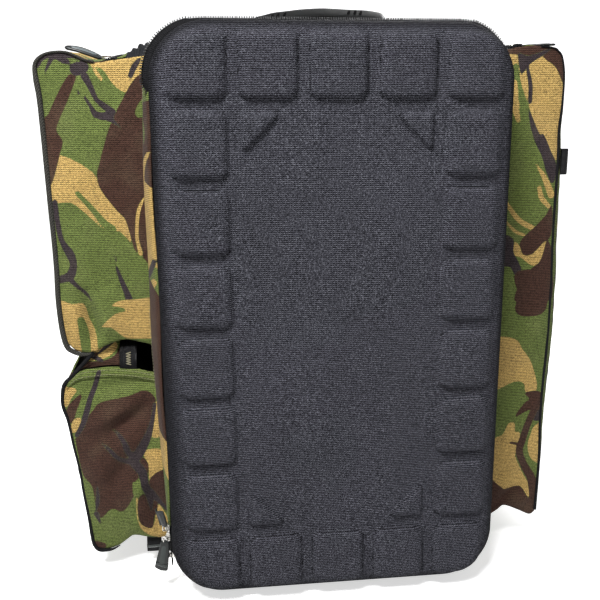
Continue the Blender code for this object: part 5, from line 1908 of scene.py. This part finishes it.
def make_yoke():
    """A stitched patch that the shoulder straps start from."""
    low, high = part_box("harness_yoke")
    z = (low.z + high.z) / 2
    y = (low.y + high.y) / 2
    line = resample(np.array([(low.x, y, z), (high.x, y, z)]), 60)
    size = (high.y - low.y, high.z - low.z, 7, 40)
    scale = rounded_ends(60, 0.03, 3)
    swept("yoke_patch", "black_cloth", "root", "binding", line, (0, 1, 0), size, scale, replaced="harness_yoke")
    face = high.y
    for k, level in enumerate((low.z + 0.004, high.z - 0.004)):
        flat_row(f"yoke_row_{k}", [(low.x + 0.004, level), (high.x - 0.004, level)], face, 0.0048)
    for key, side in SIDES:
        flat_row(f"yoke_end_row_{key}", [(side * 0.116, low.z + 0.005), (side * 0.116, high.z - 0.005)], face)
        x = side * 0.066
        start = [
            (x, face + 0.0012, 0.5990), (x, face + 0.0018, 0.6010), (x, 0.1392, 0.5985), (x, 0.1425, 0.5930),
            (x, 0.1455, 0.5870),
        ]
        hinge = swept(
            f"strap_root_{key}", "webbing", "", "webbing", smooth_curve(start, 6), (1, 0, 0), (0.046, 0.0022, 7, 24)
        )
        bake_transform(hinge)


def make_shoulder_straps():
    """Both shoulder straps: pad, binding, stitched webbing, ladder lock and the webbing below it."""
    path = np.array(STRAP_PATH)
    line = even_curve(path, 0.005)
    n = len(line)
    t = np.linspace(0, 1, n)
    wide = np.interp(t, [0, 0.03, 0.08, 0.86, 0.94, 1.0], [0.62, 0.82, 1.0, 1.0, 0.78, 0.46])
    deep = np.interp(t, [0, 0.04, 0.90, 1.0], [0.75, 1.0, 1.0, 0.7])
    shape = sweep(line, (1, 0, 0), superellipse(0.0620, 0.0090, 3.2, 28), wide, deep)
    strap = make_pad(
        "shoulder_pad_left", shape, "shoulder_strap_left", "shoulder_strap_left", 0.0026, 0.0042, lambda p: p, -1
    )
    strap.data.transform(Matrix.Scale(-1, 4, (1, 0, 0)))
    strap.data.flip_normals()
    mirror_pad(strap, "shoulder_pad_right", "shoulder_strap_right", "shoulder_strap_right")
    _, across, out = frames(line, (1, 0, 0))
    out = out * np.sign(out[n // 2, 1])
    for key, side in SIDES:
        body = f"shoulder_strap_{key}"
        turn = np.array([side, 1, 1])
        edge = []
        for sign in (1, -1):
            run = (line + across * (0.0312 * wide * sign)[:, None])[1:-1]
            edge.append(run if sign > 0 else run[::-1])
        loop = np.vstack(edge + [edge[0][:1]]) * turn
        loop = resample(loop, 190)
        swept(
            f"shoulder_binding_{key}", "binding", body, "binding", loop, (0, 1, 0), (0.0092, 0.0044, 3, 12), cap=False
        )
        first, last = int(n * 0.05), int(n * 0.95)
        web_line = (line + out * 0.0072)[first:last] * turn
        swept(f"shoulder_web_{key}", "webbing", body, "webbing", web_line, (1, 0, 0), (0.0250, 0.0016, 7, 20))
        for k, share in enumerate((0.10, 0.26, 0.42, 0.62, 0.78, 0.90)):
            at = int(n * share)
            middle = (line[at] + out[at] * 0.0081) * turn
            reach = np.array([0.0112, 0, 0])
            normal = out[at] * turn
            stitches(
                f"shoulder_tack_{key}_{k}", np.array([middle - reach, middle, middle + reach]), normal, body, 0.0022,
                0.0018, "dark_thread", 0.0013,
            )
        for sign in (1, -1):
            narrowing = np.interp(wide, [0.5, 1], [0.55, 1])[:, None]
            row = (line + across * (0.0240 * sign) * narrowing + out * 0.0057)[3:-8] * turn
            stitches(
                f"shoulder_row_{key}_{'outer' if sign > 0 else 'inner'}", row[::4], out[n // 2] * turn, body, 0.0056,
                0.0036, "dark_thread", 0.0008,
            )
        x = side * 0.113
        lock = Build()
        y, bottom, top = 0.1700, 0.2082, 0.2365
        for dx in (-0.0170, 0.0170):
            lock.add(*bar((x + dx, y, bottom), (x + dx, y, top), (1, 0, 0), 0.0044, 0.0056, 3.2, 13))
        for z, wide_bar, proud in ((bottom + 0.0006, 0.0050, 0), (0.2208, 0.0042, 0.0006), (top - 0.0006, 0.0046, 0)):
            lock.add(*bar((x - 0.0175, y + proud, z), (x + 0.0175, y, z), (0, 0, 1), wide_bar, 0.0048, 3.2, 13))
        for k in range(7):
            dx = (k - 3) * 0.0042
            lock.add(
                *bar((x + dx, y + 0.0022, 0.2192), (x + dx, y + 0.0022, 0.2228), (1, 0, 0), 0.0016, 0.0016, 3, 5, 6)
            )
        lock.piece(f"ladder_lock_frame_{key}", "plastic", body, "plastic", replaced=f"ladder_lock_{key}")
        tail = [
            (x - side * 0.002, 0.1786, 0.2720), (x - side * 0.001, 0.1765, 0.2550), (x, 0.1752, 0.2420),
            (x, 0.1738, 0.2345), (x, 0.1702, 0.2318), (x, 0.1668, 0.2350), (x, 0.1660, 0.2440),
        ]
        swept(
            f"ladder_lock_tab_{key}", "webbing", body, "webbing", smooth_curve(tail, 6), (1, 0, 0),
            (0.0250, 0.0015, 7, 18),
        )
        lower = [
            (0.113, 0.1745, 0.2235), (0.113, 0.1708, 0.2252), (0.113, 0.1668, 0.2230), (0.116, 0.1630, 0.2130),
            (0.124, 0.1560, 0.1950), (0.137, 0.1430, 0.1700), (0.150, 0.1325, 0.1460), (0.1512, 0.1314, 0.1380),
        ]
        curve = smooth_curve([(side * px, py, pz) for px, py, pz in lower], 8)
        web = swept(
            f"adjuster_web_{key}", "webbing", "", "webbing", curve, (1, 0, 0.35 * side), (0.0250, 0.0016, 7, 20),
            replaced=f"strap_webbing_{key}",
        )
        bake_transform(web)
        ends = [(side * x, 0.1329, 0.1440) for x in (0.1512 - 0.0100, 0.1512 + 0.0100)]
        bar_tack(f"adjuster_tack_{key}", *ends, (0, 1, 0), "root")


def buckle_half(name, body, node, centre, along, across, out, size, male):
    """Half of a side-release buckle: the socket is a flat sleeve with open sides, the plug has two sprung arms."""
    centre, along, across, out = (np.asarray(v, float) for v in (centre, along, across, out))
    length, width, thick = size
    half = length / 2
    build = Build()
    slot_bar = centre - along * (half - 0.0018)
    build.add(
        *bar(
            slot_bar - across * (width / 2 - 0.0012), slot_bar + across * (width / 2 - 0.0012), out, thick * 0.62,
            0.0034, 3, 11,
        )
    )
    for sign in (-1, 1):
        rail = centre + across * sign * (width / 2 - 0.0014)
        build.add(*bar(rail - along * (half - 0.0008), rail - along * half * 0.20, out, thick * 0.62, 0.0026, 3, 9))
    if male:
        deck = centre - along * half * 0.22
        build.add(
            *bar(
                deck - across * (width / 2 - 0.0010), deck + across * (width / 2 - 0.0010), out, thick * 0.80, 0.0040,
                3.2, 11,
            )
        )
        for sign in (-1, 1):
            base = centre - along * half * 0.15 + across * sign * width * 0.33
            bow = base + along * half * 0.55 + across * sign * width * 0.10
            tip = centre + along * (half - 0.0008) + across * sign * width * 0.24
            arm = smooth_curve([base, bow, tip], 6)
            build.add(
                *sweep(arm, out, superellipse(thick * 0.62, width * 0.14, 3, 10), rounded_ends(len(arm), 0.3), 1.0)
            )
        pin = [centre - along * half * 0.10, centre + along * (half - 0.0012)]
        build.add(*bar(pin[0], pin[1], out, thick * 0.50, width * 0.16, 3, 9))
    else:
        start, end = centre - along * half * 0.34, centre + along * (half - 0.0003)
        for level in (-1, 1):
            shift = out * level * thick * 0.36
            build.add(*bar(start + shift, end + shift, across, width - 0.0010, thick * 0.26, 4, 13, 20, 0.14))
        for sign in (-1, 1):
            rib_line = centre + across * sign * (width / 2 - 0.0020)
            build.add(
                *bar(
                    rib_line + along * half * 0.62, rib_line + along * (half - 0.0006), out, thick * 0.70, 0.0034, 3,
                    7,
                )
            )
            build.add(
                *bar(rib_line - along * half * 0.32, rib_line + along * half * 0.02, out, thick * 0.70, 0.0034, 3, 7)
            )
    piece = build.piece(name, "plastic", body, "plastic", replaced=node)
    return piece


def make_sternum_strap():
    """Both halves of the strap across the chest, unfastened."""
    for key, side in SIDES:
        body = f"sternum_strap_{key}"
        line = smooth_curve(
            [
                (side * 0.0615, 0.1896, 0.4740), (side * 0.060, 0.1898, 0.468), (side * 0.056, 0.1905, 0.456),
                (side * 0.054, 0.1910, 0.440), (side * 0.054, 0.1912, 0.4370), (side * 0.054, 0.1898, 0.4362),
            ],
            6,
        )
        swept(
            f"sternum_web_{key}", "webbing", body, "webbing", line, (1, 0, 0), (0.0200, 0.0015, 7, 20),
            replaced=f"sternum_strap_{key}",
        )
        ends = [(side * 0.0600 + reach, 0.1906, 0.4690) for reach in (-0.008, 0.008)]
        bar_tack(f"sternum_tack_{key}", *ends, (0, 1, 0), body)
        centre = (side * 0.054, 0.1910, 0.4255)
        buckle_half(
            f"sternum_buckle_half_{key}", body, f"sternum_buckle_{key}", centre, (0, 0, -1), (1, 0, 0), (0, 1, 0),
            (0.0280, 0.0230, 0.0060), side > 0,
        )


def make_hip_belt():
    """Both wings of the hip belt, with webbing and half a buckle each."""
    low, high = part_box("hip_wing_right")
    middle = (low.y + high.y) / 2
    corners = [(low.x, low.z), (high.x, low.z + 0.0200), (high.x, high.z - 0.0200), (low.x, high.z)]
    outline = rounded(corners, 0.016)
    rings = [
        (0.014, middle - 0.0050), (0.005, middle - 0.0036), (0.0005, middle), (0.005, middle + 0.0036),
        (0.014, middle + 0.0050),
    ]
    shape = slab(outline, rings)

    def wing_channels(points):
        made = points.copy()
        for z in (-0.0150, 0.0150):
            lean = 1 - 0.35 * np.clip((points[:, 0] - low.x) / (high.x - low.x), 0, 1)
            distance = np.abs(points[:, 2] - BELT_Z - z * lean)
            side = made[:, 1] - middle
            made[:, 1] = middle + side * (1 - 0.45 * np.exp(-((distance / 0.0040) ** 2)))
        return made

    wing = make_pad(
        "hip_cushion_right", shape, "hip_wing_right", "hip_wing_right", 0.0024, 0.0042, wing_channels, 1
    )
    mirror_pad(wing, "hip_cushion_left", "hip_wing_left", "hip_wing_left")
    for key, side in SIDES:
        body = f"hip_wing_{key}"
        turned = outline * np.array([side, 1])
        edge_binding(f"hip_binding_{key}", turned, middle, body, 0.0044, 0.0090)
        line = np.array([(side * x, middle, BELT_Z) for x in (0.2405, 0.2480, 0.2560, 0.2640, 0.2735, 0.2748)])
        line[-1, 1] += 0.0018
        swept(
            f"hip_web_{key}", "webbing", body, "webbing", smooth_curve(line, 5), (0, 0, 1), (0.0380, 0.0016, 8, 24),
            replaced=f"hip_webbing_{key}",
        )
        for face in (-1, 1):
            ends = [(side * 0.2370, middle + face * 0.0052, z) for z in (0.0770, 0.1090)]
            bar_tack(f"hip_tack_{key}_{'front' if face < 0 else 'rear'}", *ends, (0, face, 0), body, 30)
        centre = (side * 0.28625, middle, BELT_Z)
        buckle_half(
            f"hip_buckle_half_{key}", body, f"hip_buckle_{key}", centre, (side, 0, 0), (0, 0, 1), (0, 1, 0),
            (0.0275, 0.0420, 0.0110), side > 0,
        )


def make_lid_inside():
    """The cloth hinge under the lid, and the net pocket inside it."""
    low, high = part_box("lid_hinge_gusset")
    x = np.linspace(low.x, high.x, 46)
    y = np.linspace(low.y, high.y + 0.0004, 12)
    z = (low.z + high.z) / 2
    xx, yy = np.meshgrid(x, y, indexing="ij")
    rise = 0.0005 * np.sin((yy - low.y) / (high.y - low.y) * TURN / 2) + 0.00015 * np.sin(xx * 260)
    grid = np.stack([xx, yy, z + rise], axis=-1)
    uvs = np.stack([xx, yy], axis=-1)
    gusset = Build().add(grid, grid_faces(46, 12), uvs)
    gusset = gusset.piece("hinge_gusset", "black_cloth", "", "binding")
    thicken(gusset, 0.0012, 0.0)
    bake(gusset)
    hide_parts("lid_hinge_gusset")
    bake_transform(gusset)
    low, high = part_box("lid_mesh_pocket")
    top = high.z - 0.006
    z = np.linspace(low.z + 0.002, top, 60)
    u = np.linspace(-1, 1, 50)
    radius = 0.030
    drop = np.clip(radius - (z - low.z), 0, radius)
    half = high.x - 0.002 - (radius - np.sqrt(radius**2 - drop**2))
    xx = u[None, :] * half[:, None]
    zz = np.broadcast_to(z[:, None], xx.shape)
    bulge = np.sin((zz - low.z) / (top - low.z) * TURN / 4) * (1 - u[None, :] ** 2)
    grid = np.stack([xx, (low.y + high.y) / 2 + 0.0022 * bulge, zz], axis=-1)
    net = Build().add(grid, grid_faces(60, 50), np.stack([xx, zz], axis=-1))
    net = net.piece("lid_pocket_net", "net", "front_lid", "mesh", replaced="lid_mesh_pocket")
    hem_line = grid[-1] + np.array([0, 0.0004, 0.003])
    hem = swept("lid_pocket_hem", "binding", "front_lid", "binding", hem_line, (0, 0, 1), (0.0140, 0.0018, 6, 14))
    edge = np.vstack([grid[::-1, 0], grid[0, 1:-1], grid[:, -1]])
    rim = swept(
        "lid_pocket_edge", "binding", "front_lid", "binding", resample(edge, 160), (0, 1, 0), (0.0022, 0.0080, 4, 12)
    )


def finish_cad_nodes():
    """The boards and the base tray keep their CAD shape and get their own materials."""
    for node, key in (("base_tray", "coated"), ("base_board", "board"), ("frame_sheet", "board")):
        for slot in bpy.data.objects[node].material_slots:
            slot.material = MAT[key]


# ---------------------------------------------------------------- stage, light and camera


def brighter_to_camera(tree, socket, dim, bright):
    """Sets a strength that lights the object dimly, and shows bright where the camera sees the surface itself."""
    seen = tree.nodes.new("ShaderNodeLightPath")
    strength = tree.nodes.new("ShaderNodeMapRange")
    strength.inputs["To Min"].default_value = dim
    strength.inputs["To Max"].default_value = bright
    tree.links.new(seen.outputs["Is Camera Ray"], strength.inputs["Value"])
    tree.links.new(strength.outputs["Result"], socket)


def pale_surface(name, corners, dim, bright):
    """A plain white sheet of the studio, with a little light of its own so that its far parts stay white."""
    mesh = bpy.data.meshes.new(name)
    mesh.from_pydata(corners, [], [(0, 1, 2, 3)])
    s = Shader(name + "_paint", Roughness=0.9)
    s.bsdf.inputs["Emission Color"].default_value = (1, 1, 1, 1)
    s.bsdf.inputs["Specular IOR Level"].default_value = 0.1
    brighter_to_camera(s.material.node_tree, s.bsdf.inputs["Emission Strength"], dim, bright)
    s.colour(linear((232, 232, 232)))
    mesh.materials.append(s.material)
    sheet = bpy.data.objects.new(name, mesh)
    bpy.context.scene.collection.objects.link(sheet)


def make_stage():
    wide, level = 12.0, -0.0006
    pale_surface(
        "floor", [(-wide, -wide, level), (wide, -wide, level), (wide, wide, level), (-wide, wide, level)], 0.20, 0.62
    )
    far, tall = 7.0, 8.0
    pale_surface(
        "backdrop", [(-wide, far, level), (wide, far, level), (wide, far, tall), (-wide, far, tall)], 0.70, 0.95
    )


def area_light(name, place, target, size, power):
    data = bpy.data.lights.new(name, "AREA")
    data.shape = "DISK"
    data.size = size
    data.energy = power
    light = bpy.data.objects.new(name, data)
    bpy.context.scene.collection.objects.link(light)
    light.location = place
    light.rotation_euler = (Vector(target) - Vector(place)).to_track_quat("-Z", "Y").to_euler()


def make_light():
    world = bpy.data.worlds.new("studio")
    bpy.context.scene.world = world
    world.use_nodes = True
    background = world.node_tree.nodes["Background"]
    background.inputs["Color"].default_value = (1, 1, 1, 1)
    brighter_to_camera(world.node_tree, background.inputs["Strength"], 0.25, 1.0)
    area_light("key", (-0.58, -1.14, 2.00), (0, -0.1, 0.42), 0.7, 105)
    area_light("rim", (0.6, 1.4, 1.6), (0, 0, 0.4), 1.2, 25)
    bpy.context.scene.view_settings.view_transform = "Standard"


def make_camera():
    """Stands left of the middle at 0.5 m, 0.7 m off the lid, looking a little right and down."""
    turn, drop, roll = math.radians(6.01), math.radians(12.28), math.radians(-0.49)
    ahead = Vector((math.sin(turn) * math.cos(drop), math.cos(turn) * math.cos(drop), -math.sin(drop)))
    level = Vector((math.cos(turn), -math.sin(turn), 0))
    up = level.cross(ahead)
    right = level * math.cos(roll) + up * math.sin(roll)
    up = right.cross(ahead)
    data = bpy.data.cameras.new("camera")
    data.lens = 42
    data.sensor_width = 36
    data.clip_start = 0.01
    camera = bpy.data.objects.new("camera", data)
    bpy.context.scene.collection.objects.link(camera)
    turned = Matrix((right, up, -ahead)).transposed().to_4x4()
    camera.matrix_world = Matrix.Translation((-0.1155, -0.8659, 0.5086)) @ turned
    bpy.context.scene.camera = camera


make_lid_shell()
make_lid_lining()
make_zip()
UPPER, LOWER, RIGHT = make_pockets()
make_top(UPPER, "left_upper", -0.3068, -0.2300, -0.1897, "left_upper_lid", "left_upper_zip", "left_upper_top", 4)
make_top(RIGHT, "right", 0.2716, 0.2220, 0.1897, "right_lid", "right_zip", "right_top", 3)
make_front_sliders()
make_top_sliders()
make_flaps()
make_lower_top()
make_side_fittings()
make_handle()
make_bag()
make_back_pads()
make_yoke()
make_shoulder_straps()
make_sternum_strap()
make_hip_belt()
make_lid_inside()
finish_cad_nodes()
make_stage()
make_light()
make_camera()
